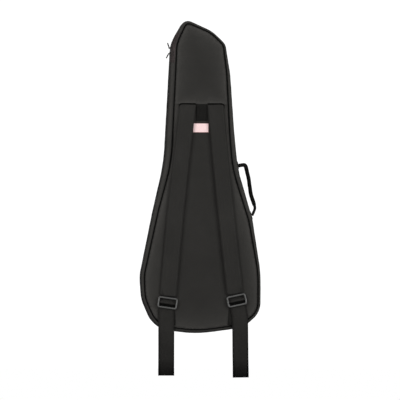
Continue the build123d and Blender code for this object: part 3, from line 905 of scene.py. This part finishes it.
def pocket_depth(points, seam):
    _, gap = nearest(points, pocket_edge)
    spots = np.column_stack([points, np.zeros(len(points))])
    rise = 2.4 * (1 - np.exp(-gap / 14)) + ruffle(spots, 70, 0.7, 41) * np.minimum(gap / 25, 1)
    rise *= 1 - 0.8 * np.exp(-np.abs(points[:, 1] - seam) / 9)
    return pocket_face + 0.9 + rise


pocket_wall = [(0.9, pocket_floor + 0.2), (0.1, pocket_floor + 1.2)]
for t in np.linspace(0.1, 0.95, 7):
    wall_y = pocket_floor + 1.2 + t * (pocket_face - pocket_floor - 1.4)
    pocket_wall.append((-0.9 * math.sin(math.pi * t), wall_y))
pocket_wall += [(0.9, pocket_face + 0.3)]
pocket_centre = np.array([0, 50, 380.0])
pocket_side = face_outward(loop_ring("pocket_gusset_cloth", pocket_loop, pocket_wall), pocket_centre)
crinkle(pocket_side, 0.5, 18, 43)
dress(thicken(pocket_side, pocket_nylon), "bag_nylon", "lid", ["pocket_gusset"])

cord = []
for turn in np.linspace(0, 2 * math.pi, 10, endpoint=False):
    cord.append((
        piping_width / 2 + pocket_cord_radius * math.cos(turn),
        pocket_face + 1.75 + pocket_cord_radius * math.sin(turn),
    ))
pocket_cord = close_mesh(loop_ring("pocket_piping_cord", pocket_loop, cord, tube=True))
dress(crinkle(pocket_cord, 0.12, 7, 45), "piping", "lid", ["pocket_piping"])
pocket_lower = face_outward(sheet(
    "pocket_panel_lower_cloth", cut_loop(pocket_edge, zip_low, False),
    lambda p: pocket_depth(p, zip_low), 6.0,
))
pocket_upper = face_outward(sheet(
    "pocket_panel_upper_cloth", cut_loop(pocket_edge, zip_high, True),
    lambda p: pocket_depth(p, zip_high), 5.0,
))

# Each panel: the most that the simulation may move it, its thickness, body and CAD node.
PANELS = (
    (front_panel, 2.6, nylon, "lid", "front_panel"),
    (back_lower, 1.6, nylon, "back_half", "back_panel_lower"),
    (back_upper, 1.8, nylon, "back_half", "back_panel_upper"),
    (pocket_lower, 2.5, pocket_nylon, "lid", "pocket_panel_lower"),
    (pocket_upper, 1.5, pocket_nylon, "lid", "pocket_panel_upper"),
)
simulate([(panel, cap) for panel, cap, *_ in PANELS])
for panel, _, thickness, body, node in PANELS:
    dress(thicken(panel, thickness), "bag_nylon", body, [node])


def across_pocket(z):
    """x limits of the pocket's opening at height z."""
    near = np.abs(pocket_edge[:, 1] - z) < 4
    return pocket_edge[near, 0].min() + 0.5, pocket_edge[near, 0].max() - 0.5


zip_left, zip_right = across_pocket(pocket_zip_z)
tapes = []
for side in (-1, 1):
    path = [(x, pocket_face + 0.75, pocket_zip_z + side * 8.4) for x in np.linspace(zip_left, zip_right, 60)]
    tapes.append(sweep(f"pocket_tape_{side}", path, (0, 0, 1), ribbon_section(9.0, 0.9, 4)))
dress(merge("pocket_zip_tape_cloth", tapes), "zip_tape", "lid", ["pocket_zip_tape"])
teeth = []
for side in (-1, 1):
    for x in np.arange(zip_left + 2 + (side > 0) * tooth_pitch / 2, zip_right - 2, tooth_pitch):
        place = (x, pocket_face + 0.75, pocket_zip_z + side * 2.3)
        teeth.append(box_part("tooth", (1.7, 2.6, 3.0), place, np.eye(3), 0.5, 1))
dress(merge("pocket_zip_coil", teeth), "zip_teeth", "lid", ["pocket_zip_teeth"])

# ---- fabric spine, scuff guard, label, neck strap ------------------------------------------

spine_profile = [
    (1.0 - 0.5 * math.cos(math.pi * y / 28), y) for y in np.linspace(-zip_edge + 0.2, zip_edge - 0.2, 9)
]
spine = face_outward(ring("spine_cloth", spine_profile, rows=spine_rows))
crinkle(spine, 0.25, 16, 51)
thicken(spine, nylon)
hinge = joint("lid_open")[1]
dress(spine, "bag_nylon", stands_for=["spine_web"])
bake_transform(spine)

guard_low, guard_high = box("headstock_guard")
guard_rows = np.flatnonzero(
    (outline[:, 0] < -40) & (outline[:, 1] > guard_low[2] - 1) & (outline[:, 1] < guard_high[2] + 1)
)
guard_profile = [(inset - 0.75, y) for inset, y in gusset_profile(-1)[2:-3]]
guard = face_outward(ring("headstock_guard_rubber", guard_profile, rows=guard_rows))
crinkle(guard, 0.25, 8, 53)
dress(thicken(guard, 0.8), "scuff_guard", "back_half", ["headstock_guard"])

label_low, label_high = box("label_patch")
on_panel = places(back_lower)
near_label = np.abs(on_panel[:, 0] - label_low[0] - 25) < 34
near_label &= np.abs(on_panel[:, 2] - label_low[2] - 15) < 22
label_y = on_panel[near_label, 1].min() - 0.8


def flat_patch(name, low_x, high_x, low_z, high_z, y, thickness, curl=0.0):
    """A thin cloth rectangle facing -Y, its corners slightly lifted by curl."""
    xs = np.linspace(low_x, high_x, 28)
    zs = np.linspace(low_z, high_z, 20)
    u, v = np.meshgrid(np.linspace(-1, 1, len(xs)), np.linspace(-1, 1, len(zs)))
    x, z = np.meshgrid(xs, zs)
    depth = y - curl * (u ** 4 * v ** 4)
    grid = np.stack([x, depth, z], axis=2)
    return thicken(face_outward(surface(name, grid)), thickness)


left, right, foot, head = label_low[0], label_high[0], label_low[2], label_high[2]
label = flat_patch("label_cloth", left, right, foot, head, label_y, 0.7, 0.3)
dress(label, "label", "back_half", ["label_patch"])
turns = ((left, foot), (right, foot), (right, head), (left, head))
corners = [np.array([x, label_y - 0.1, z]) for x, z in turns]
border = []
for start, end in zip(corners, corners[1:] + corners[:1]):
    line = np.array([start, (start + end) / 2, end])
    border.append(sweep("edge", line, (0, 1, 0), pillow(0.8, 1.5, 3.0, 10)))
dress(merge("label_woven_edge", border), "label_edge", "back_half")

neck_low, neck_high = box("neck_strap")
neck_path = rounded([
    (neck_low[0], neck_low[1] + 1, 0), (-46, neck_low[1] + 1, 0), (-34, neck_high[1] - 1, 0),
    (34, neck_high[1] - 1, 0), (46, neck_low[1] + 1, 0), (neck_high[0], neck_low[1] + 1, 0),
], 7)
neck_path[:, 2] = (neck_low[2] + neck_high[2]) / 2
neck = sweep("neck_strap_webbing", neck_path, (0, 0, 1), ribbon_section(neck_high[2] - neck_low[2], 1.8))
dress(neck, "webbing", "back_half", ["neck_strap"])

# ---- shoulder straps, buckles, webbing ---------------------------------------------------

strap_back = abs(box("strap_left_mesh")[1][1])      # |y| of the side that lies on the panel
strap_front = abs(box("strap_left_face")[0][1])
webbing = 50.0
webbing_thickness = 2.0


def strap_line(name):
    """Middle of the strap's upper and lower end, from the long axis of its CAD face."""
    points = np.array([(v.co.x, v.co.z) for v in frame["nodes"][f"strap_{name}_face"].data.vertices]) / MM
    centre = (points.max(0) + points.min(0)) / 2
    values, vectors = np.linalg.eigh(np.cov((points - points.mean(0)).T))
    down = vectors[:, -1] * (1 if vectors[1, -1] < 0 else -1)
    reach = np.abs((points - centre) @ down).max() + 1.0
    width = 2 * (np.abs((points - centre) @ np.array([-down[1], down[0]])).max() + 1.0)
    return centre - down * reach, centre + down * reach, width


def strap_perimeter(path, half_width, across, corner=6.0):
    """Down one edge, round the lower end and up the other, inset by half_width from the middle."""
    left = path - across * half_width
    right = path + across * half_width
    end = np.vstack([left, right[::-1]])
    return rounded(end, corner, 3.0)


def sewn_top(thing, finish, side_name, nodes=()):
    """Dresses a piece of a strap, whose top is sewn into the seam, and bakes its transform into its mesh."""
    pivot_x = joint(f"strap_{side_name}_swing")[1][0]
    dress(thing, finish, stands_for=nodes)
    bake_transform(thing)


# Each strap: how far it bows sideways, x of the tail's end, how far the tail leans on its way there,
# x of the leg's foot and the seed of its creases.
for name, bow, end_x, tail_lean, leg_x, seed in (
    ("left", -4.0, -115.0, 0.4, -108.0, 61),
    ("right", -2.5, 129.0, -2.2, 111.0, 67),
):
    body = f"strap_{name}"
    top, foot, width = strap_line(name)
    steps = np.linspace(0, 1, 150)
    middle = top + (foot - top) * steps[:, None]
    middle[:, 0] += bow * np.sin(math.pi * steps)
    down = (foot - top) / np.linalg.norm(foot - top)
    across = np.array([-down[1], down[0]])
    if across[0] < 0:
        across = -across
    run = steps * np.linalg.norm(foot - top)
    # The padding is pressed thin where the strap is sewn into the seam and at its lower end.
    plump = 0.45 + 0.55 * (1 - np.exp(-run / 22))
    plump *= 0.75 + 0.25 * (1 - np.exp(-(run[-1] - run) / 18))

    def strap_grid(offsets, depth):
        """Grid over the strap: offsets across it, depth(u, row) gives |y|."""
        rows = []
        for row, (x, z) in enumerate(middle):
            rows.append([
                (x + across[0] * u, -depth(u, row), z + across[1] * u) for u in offsets
            ])
        return rows

    offsets = np.linspace(-width / 2 + 1.6, width / 2 - 1.6, 19)
    full = strap_front - strap_back
    outward = 1 if top[0] > 0 else -1

    def lean(u):
        """Thickness of the strap at u across it: it lies down towards the bag's side."""
        return np.interp(outward * u, [-0.1 * width, 0.5 * width], [1.0, 0.5])

    def face_depth(u, row):
        crown = 1.0 - (abs(u) / (width / 2)) ** 4
        return strap_back + ((full - 1.6) * lean(u) + 1.9 * crown) * plump[row]

    face = surface(f"strap_{name}_cover", strap_grid(offsets, face_depth))
    face_outward(face)
    crinkle(face, 0.35, 24, seed)
    sewn_top(thicken(face, pocket_nylon), "bag_nylon", name, [f"strap_{name}_face"])
    back = surface(f"strap_{name}_backing", strap_grid(offsets, lambda u, row: strap_back + 1.1))
    back = thicken(face_outward(back, np.array([0, -200.0, 600])), 1.0)
    sewn_top(back, "air_mesh", name, [f"strap_{name}_mesh"])

    path = at_depth(middle, -(strap_back + 1.2 + (full - 1.4) * plump / 2))
    padding = sweep(
        f"strap_{name}_pad", path[1:-2] - np.array([across[0], 0, across[1]]) * outward * 7,
        (across[0], 0, across[1]), pillow(width - 24, full - 4.6, 4.0),
        np.column_stack([np.ones(len(plump)), plump * 0.9])[1:-2],
    )
    sewn_top(crinkle(padding, 0.2, 15, 71), "foam", name, [f"strap_{name}_foam"])

    edge = strap_perimeter(middle, width / 2 - 1.7, across)
    drop = np.clip((edge - top) @ down, 0, run[-1])
    height = np.interp(drop, run, plump)
    height *= lean((edge - top) @ across - np.interp(drop, run, (middle - top) @ across))
    edge_path = at_depth(edge, -(strap_back + 0.6 + (full - 0.9) * height / 2))
    tape_side = np.gradient(edge, axis=0)
    tape_side /= np.linalg.norm(tape_side, axis=1)[:, None]
    tape_side = np.column_stack([tape_side[:, 1], np.zeros(len(edge)), -tape_side[:, 0]])
    binding = sweep(
        f"strap_{name}_edge_tape", edge_path, tape_side, pillow(3.6, full - 0.4, 3.0, 18),
        np.column_stack([np.ones(len(edge)), height]),
    )
    sewn_top(binding, "binding", name, [f"strap_{name}_binding"])

    inner_edge = strap_perimeter(middle, width / 2 - 5.6, across)
    inner_drop = np.clip((inner_edge - top) @ down, 0, run[-1])
    inner_height = np.interp(inner_drop, run, plump)
    inner_u = (inner_edge - top) @ across - np.interp(inner_drop, run, (middle - top) @ across)
    crown = 1.0 - ((width / 2 - 5.6) / (width / 2)) ** 4
    thread_y = -(strap_back + ((full - 1.6) * lean(inner_u) + 1.9 * crown) * inner_height + 0.15)
    thread_line = at_depth(inner_edge, thread_y)
    sewn_top(stitches(f"strap_{name}_thread", thread_line, (0, -1, 0)), "thread", name)

    # The buckle's own directions, from the pivots of its tilt and of the tail.
    top_bar = joint(f"buckle_{name}_tilt")[1]
    low_bar = joint(f"tail_{name}_swing")[1]
    middle_bar = (top_bar + low_bar) / 2
    up = (top_bar - low_bar) / np.linalg.norm(top_bar - low_bar)
    out = np.array([0, -1.0, 0])
    side = np.cross(out, up)
    if side[0] < 0:
        side = -side
    axes = (side, up, out)
    pitch = np.linalg.norm(top_bar - middle_bar)
    buckle_width, buckle_height = 64.0, 2 * pitch + 4.0
    rim_top = abs(box(f"buckle_{name}")[0][1]) - abs(middle_bar[1])

    # Raised rim: a rounded frame, with side rails down to the bars.
    corner = 6.0
    rim_line = []
    for cx, cz, start in ((1, 1, 0), (-1, 1, 90), (-1, -1, 180), (1, -1, 270)):
        for a in np.linspace(start, start + 90, 9):
            rim_line.append((
                cx * (buckle_width / 2 - 2.4 - corner) + corner * math.cos(math.radians(a)),
                cz * (buckle_height / 2 - 2.2 - corner) + corner * math.sin(math.radians(a)),
            ))
    rim_line = resample(np.array(rim_line), 2.0)
    rim_out = -inward_normals(rim_line[::-1])[::-1]
    section = pillow(5.0, 2.8, 2.6, 16)
    grid = []
    for (a, b), (na, nb) in zip(rim_line, rim_out):
        grid.append([
            middle_bar + side * (a + na * s) + up * (b + nb * s) + out * (rim_top - 1.4 + t)
            for s, t in section
        ])
    parts = [close_mesh(surface(f"buckle_{name}_body_mesh", grid, closed=True, tube=True))]
    rail_depth = rim_top + 0.6
    rail_out = rim_top - 1.8 - rail_depth / 2
    for s in (-1, 1):
        rail_place = middle_bar + side * s * (buckle_width / 2 - 2.4) + out * rail_out
        parts.append(box_part("rail", (4.4, buckle_height - 7, rail_depth), rail_place, axes, 1.2))
    for k in (-1, 0, 1):
        reach = buckle_width / 2 - 3.0
        bar = np.array([middle_bar + up * k * pitch + side * t for t in np.linspace(-reach, reach, 9)])
        parts.append(sweep("bar", bar, up, pillow(3.9, 3.9, 2.2, 16)))
    lip_place = middle_bar - up * pitch + out * (rim_top - 0.8) / 2
    parts.append(box_part("lip", (buckle_width - 8, 3.8, rim_top - 0.8), lip_place, axes, 0.9))
    moulding = unite(f"buckle_{name}_moulding", parts)
    dress(moulding, "buckle_plastic", f"buckle_{name}_body", [f"buckle_{name}"])

    # Webbing: the tab round the top bar, the turn over the middle bar with the tail, and the leg.
    bar_gap = 2.4 + webbing_thickness / 2
    turn = [math.radians(a) for a in np.linspace(100, 440, 26)]
    eye = [top_bar + bar_gap * (up * math.sin(a) * -1 + out * math.cos(a)) for a in turn]
    tuck = top_bar + up * 24
    tab_path = [tuck + out * 0.4] + [top_bar + up * 9 + out * 0.6] + eye + [top_bar + up * 9 - out * 0.8]
    tab_path = rounded(tab_path + [tuck - out * 0.8], 3, 1.2)
    tab = sweep(f"strap_{name}_tab_webbing", tab_path, side, ribbon_section(webbing - 4, 1.7))
    # Painted shade on the tab where it runs in behind the top bar.
    set_painted_light(tab, np.interp((places(tab) - top_bar) @ up, [-6, 2, 10], [-0.9, -0.9, -0.2]))
    dress(tab, "webbing", body, [f"strap_{name}_tab"])

    wrap = [math.radians(a) for a in np.linspace(-90, 110, 20)]
    over = [middle_bar + bar_gap * (up * math.sin(a) + out * math.cos(a)) for a in wrap]
    tail_low = box(f"strap_{name}_tail")[0]
    hang = [low_bar - out * bar_gap + up * 4, low_bar - out * bar_gap - up * 8]
    bend_z = 196.0
    hang.append(np.array([end_x + tail_lean, hang[0][1], bend_z]))
    for t in np.linspace(0.12, 1, 12):
        x = end_x + tail_lean * (1 - t)
        sway = -0.5 * math.sin(2.5 * math.pi * t)
        hang.append(np.array([x, hang[0][1] + sway, bend_z + t * (tail_low[2] + 0.8 - bend_z)]))
    hang_line = np.array(hang)[::-1]
    tail_path = rounded(over + hang, 3, 1.6)
    tail_section = ribbon_section(webbing + 2.4, webbing_thickness)
    tail = sweep(f"strap_{name}_adjusting_webbing", tail_path, side, tail_section)
    crinkle(tail, 0.25, 40, 81)
    # Painted shade: the tail darker towards its lower end and along its selvedges, darkest where it shows in
    # the slot behind the buckle.
    dust_and_painted_shade = np.interp(places(tail)[:, 2], [0, 25, 60, 170, 230], [-0.88, -0.72, -0.34, -0.15, -0.1])
    centre_x = np.interp(places(tail)[:, 2], hang_line[:, 2], hang_line[:, 0])
    dust_and_painted_shade -= 0.4 * np.interp(np.abs(places(tail)[:, 0] - centre_x), [19, 25], [0, 1])
    in_slot = np.abs((places(tail) - low_bar) @ up - 6.5) < 5.5
    behind = (places(tail) - middle_bar) @ out < 1.5
    set_painted_light(tail, np.where(in_slot & behind, -0.9, dust_and_painted_shade))
    dress(tail, "webbing", stands_for=[f"strap_{name}_wrap", f"strap_{name}_tail"])
    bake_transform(tail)

    leg_low, leg_high = box(f"strap_{name}_leg")
    leg_y = (leg_low[1] + leg_high[1]) / 2
    leg_path = rounded([
        (leg_x, leg_y + 3.0, leg_low[2] + 1.0), (leg_x, leg_y, leg_low[2] + 9),
        (middle_bar[0], leg_y, leg_high[2] - 3),
    ], 8)
    leg = sweep(f"strap_{name}_leg_webbing", leg_path, (1, 0, 0), ribbon_section(webbing - 2, 1.7))
    # Painted shade: the leg, behind the tail, darker all over.
    set_painted_light(leg, -0.5)
    dress(leg, "webbing", stands_for=[f"strap_{name}_leg"])
    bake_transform(leg)

# ---- hang loop and side handle ---------------------------------------------------------------

loop_low, loop_high = box("hang_loop")
loop_x = (loop_low[0] + loop_high[0]) / 2
front_y, back_y = loop_low[1] + 0.9, loop_high[1] - 0.7
loop_path = rounded([
    (loop_x, front_y + 1.4, loop_high[2] + 1), (loop_x, front_y, loop_high[2] - 12),
    (loop_x, front_y, loop_low[2] + 2), (loop_x, (front_y + back_y) / 2, loop_low[2]),
    (loop_x, back_y, loop_low[2] + 2), (loop_x, back_y, loop_high[2] + 1),
], 2.4, 0.8)
hang_loop = sweep("hang_loop_webbing", loop_path, (1, 0, 0), ribbon_section(loop_high[0] - loop_low[0], 1.5))
# Painted shade: the hang loop, deep between the straps, darker all over.
set_painted_light(hang_loop, -0.6)
dress(crinkle(hang_loop, 0.2, 18, 91), "webbing", "loop", ["hang_loop"])

handle_y = -23.5
handle_path = [(125, 694), (147, 698), (158, 652), (165, 600), (180, 555), (169.5, 531)]
grip_low, grip_high = box("handle_grip")
curve = rounded([(x, handle_y, z) for x, z in handle_path], 11, 1.5)
height = curve[:, 2]
corner_at = int(np.argmax(height))
grip_part = (height < grip_high[2]) & (height > grip_low[2]) & (np.arange(len(curve)) > corner_at)
foot_at = int(np.argmax(curve[:, 0]))
grip_part &= np.arange(len(curve)) < foot_at
grip_path = curve[grip_part]
swell = np.linspace(-1, 1, len(grip_path))
shape = np.column_stack([1 - 0.06 * swell ** 8, 1 - 0.25 * swell ** 14])
grip = sweep("handle_grip_sleeve", grip_path, (0, 1, 0), pillow(28, 12.4, 3.0, 30), shape)
dress(crinkle(grip, 0.35, 11, 95), "handle_grip", "handle", ["handle_grip"])

under_grip = 8              # path points of webbing that run on inside the sleeve
for name, thickness, part in (
    ("upper", 12.4, curve[:np.flatnonzero(grip_part)[0] + under_grip]),
    ("lower", 8.4, curve[np.flatnonzero(grip_part)[-1] - under_grip:]),
):
    strap = sweep(f"handle_webbing_{name}_band", part, (0, 1, 0), pillow(25, thickness, 3.4, 24))
    # Painted shade: the side handle's webbing darker all over.
    set_painted_light(strap, -0.75)
    dress(crinkle(strap, 0.2, 9, 97), "webbing", stands_for=[f"handle_webbing_{name}"])
    if name == "lower":
        part = part[::-1]
    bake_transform(strap)

anchor_low, anchor_high = box("handle_anchors")
patch_height = 30.0
patches = []
threads = []
for z_low in (round(anchor_high[2] - patch_height), round(anchor_low[2])):
    z_high = z_low + patch_height
    rows = np.flatnonzero((outline[:, 0] > 60) & (outline[:, 1] > z_low) & (outline[:, 1] < z_high))
    profile = []
    for y in np.linspace(handle_y - 11, handle_y + 9, 9):
        profile.append((-0.65 - 0.9 * (1 - ((y - handle_y) / 12) ** 6), y))
    patches.append(thicken(face_outward(ring("patch", profile, rows=rows)), 0.9))
    for inner in (2.5, 6.5):
        ys = [handle_y - 11 + inner, handle_y + 9 - inner]
        zs = [z_low + inner, z_high - inner]
        for y in ys:
            keep = rows[(outline[rows, 1] > zs[0]) & (outline[rows, 1] < zs[1])]
            flat = outline[keep] - way_in[keep] * 1.75
            threads.append(stitches("row", at_depth(flat, y), (1, 0, 0.2), radius=0.5))
dress(merge("handle_anchor_thread", threads), "pale_thread", "back_half")
dress(merge("handle_anchor_patches", patches), "webbing", "back_half", ["handle_anchors"])

# ---- zip sliders and pulls ---------------------------------------------------------------------

pin_standoff = 5.2          # from a zip's track to the pin that its pull hangs on


def slider(name, pull_name, nodes, bodies, centre, ahead, out):
    """Slider body and pull. centre is on the track; the pull's pin stands off it along out."""
    ahead, out = np.array(ahead, float), np.array(out, float)
    side = np.cross(out, ahead)
    axes = (ahead, side, out)
    parts = [
        box_part("top", (13.5, 10.5, 2.2), centre + out * 1.9, axes, 0.9),
        box_part("wedge", (5, 1.2, 5.4), centre - out * 0.9, axes, 0.3, 2),
        box_part("under", (13.5, 10.5, 1.5), centre - out * 3.5, axes, 0.6),
    ]
    for s in (-1, 1):
        parts.append(box_part("lug", (4.4, 1.4, 3.6), centre + out * 4.4 + side * s * 3.4, axes, 0.5, 2))
    pin = centre + out * pin_standoff
    rod = np.array([pin + side * t for t in np.linspace(-3.8, 3.8, 5)])
    parts.append(sweep("pin", rod, ahead, pillow(1.6, 1.6, 2.0, 10)))
    dress(unite(name, parts), "zip_metal", bodies[0], [nodes[0]])

    low, high = box(nodes[1])
    reach = (low + high) / 2 - pin
    along = reach / np.linalg.norm(reach)
    flat = np.cross(along, side)
    outline_points = []
    for a in np.linspace(0, 2 * math.pi, 40, endpoint=False):
        t = 0.5 - 0.5 * math.cos(a)
        half_width = 2.1 + 1.6 * t ** 1.5
        x = -1.6 + 19.4 * t
        w = half_width * abs(math.sin(a)) ** 0.5 * (1 if math.sin(a) > 0 else -1)
        outline_points.append((x, w))
    tab_layers = ((0.0, -1.7), (0.84, -1.9), (0.96, -1.4), (1.0, 0.0), (0.96, 1.4), (0.84, 1.9), (0.0, 1.7))
    tab = surface(pull_name, [
        [pin + along * (8 + (x - 8) * shrink) + side * w * shrink + flat * h for x, w in outline_points]
        for shrink, h in tab_layers
    ], tube=True)
    dress(sharpen(close_mesh(tab, 1e-6)), "pull_metal", bodies[1], [nodes[1]])


down_track = joint("zip_lower_slide")[0]
low_pin = joint("zip_lower_pull_swing")[1]
low_out = np.array([down_track[2], 0, -down_track[0]])
if low_out[0] > 0:
    low_out = -low_out
slider(
    "zip_slider_lower_metal", "zip_pull_lower_tab", ("zip_slider_lower", "zip_pull_lower"),
    ("lower_slider", "lower_pull"), low_pin - low_out * pin_standoff, -down_track, low_out,
)
arc_centre = joint("zip_upper_slide")[1]
high_pin = joint("zip_upper_pull_swing")[1]
high_out = (high_pin - arc_centre) / np.linalg.norm(high_pin - arc_centre)
slider(
    "zip_slider_upper_metal", "zip_pull_upper_tab", ("zip_slider_upper", "zip_pull_upper"),
    ("upper_slider", "upper_pull"), high_pin - high_out * pin_standoff,
    (-high_out[2], 0, high_out[0]), high_out,
)
pocket_pin = joint("pocket_pull_swing")[1]
slider(
    "pocket_slider_metal", "pocket_pull_tab", ("pocket_slider", "pocket_pull"),
    ("pocket_slider_body", "pocket_pull_body"), pocket_pin - np.array([0, pin_standoff, 0]),
    (1, 0, 0), (0, 1, 0),
)

# ---- floor, light, camera ------------------------------------------------------------------------

def switch_for_camera(tree, for_light, for_camera, output):
    """One shader lights the scene and another is what the camera sees."""
    seen = add_node(tree, "ShaderNodeLightPath").outputs["Is Camera Ray"]
    choices = {0: seen, 1: for_light.outputs[0], 2: for_camera.outputs[0]}
    mixed = add_node(tree, "ShaderNodeMixShader", choices)
    tree.links.new(mixed.outputs[0], add_node(tree, output).inputs["Surface"])


floor_reach, floor_level = 60.0, -0.002      # metres
floor = put_in_scene("floor", bpy.data.meshes.new("floor"))
floor_signs = ((-1, -1), (1, -1), (1, 1), (-1, 1))
floor_corners = [(x * floor_reach, y * floor_reach, floor_level) for x, y in floor_signs]
floor.data.from_pydata(floor_corners, [], [(0, 1, 2, 3)])
paper, tree = blank_material("paper")
plain = add_node(tree, "ShaderNodeBsdfDiffuse", {"Color": (0.45, 0.45, 0.45, 1)})
glow = add_node(tree, "ShaderNodeEmission", {"Color": (1, 1, 1, 1), "Strength": 1.0})
switch_for_camera(tree, plain, glow, "ShaderNodeOutputMaterial")
floor.data.materials.append(paper)

world = bpy.data.worlds.new("studio")
bpy.context.scene.world = world
world.use_nodes = True
tree = world.node_tree
tree.nodes.clear()
lit = add_node(tree, "ShaderNodeBackground", {"Color": (1, 1, 1, 1), "Strength": 0.35})
white = add_node(tree, "ShaderNodeBackground", {"Color": (1, 1, 1, 1), "Strength": 1.1})
switch_for_camera(tree, lit, white, "ShaderNodeOutputWorld")


def softbox(name, place, size, power):
    lamp = bpy.data.lights.new(name, "AREA")
    lamp.size = size
    lamp.energy = power
    holder = put_in_scene(name, lamp)
    holder.location = place
    holder.rotation_mode = "QUATERNION"
    holder.rotation_quaternion = (Vector((0, 0, 0.6)) - Vector(place)).to_track_quat("-Z", "Y")


softbox("left_box", (-3.0, -4.2, 1.5), 2.4, 110)
softbox("right_box", (3.0, -4.2, 1.5), 2.4, 110)
softbox("top_box", (0.0, -2.5, 4.0), 2.0, 30)
softbox("back_box", (0.0, 4.5, 2.0), 2.4, 45)

eye_azimuth, eye_height = math.radians(-5), math.radians(-2.6)
aim = Vector((0, 0, 0.582))
distance = 12.0
frame_width = 1.312
back = Vector((
    math.sin(eye_azimuth) * math.cos(eye_height),
    -math.cos(eye_azimuth) * math.cos(eye_height),
    math.sin(eye_height),
))
lens = bpy.data.cameras.new("camera")
lens.sensor_width = 36
lens.lens = 36 * distance / frame_width
lens.clip_end = 100
camera = put_in_scene("camera", lens)
camera.location = aim + back * distance
camera.rotation_mode = "QUATERNION"
camera.rotation_quaternion = (-back).to_track_quat("-Z", "Y")
bpy.context.scene.camera = camera
bpy.context.scene.view_settings.view_transform = "Standard"
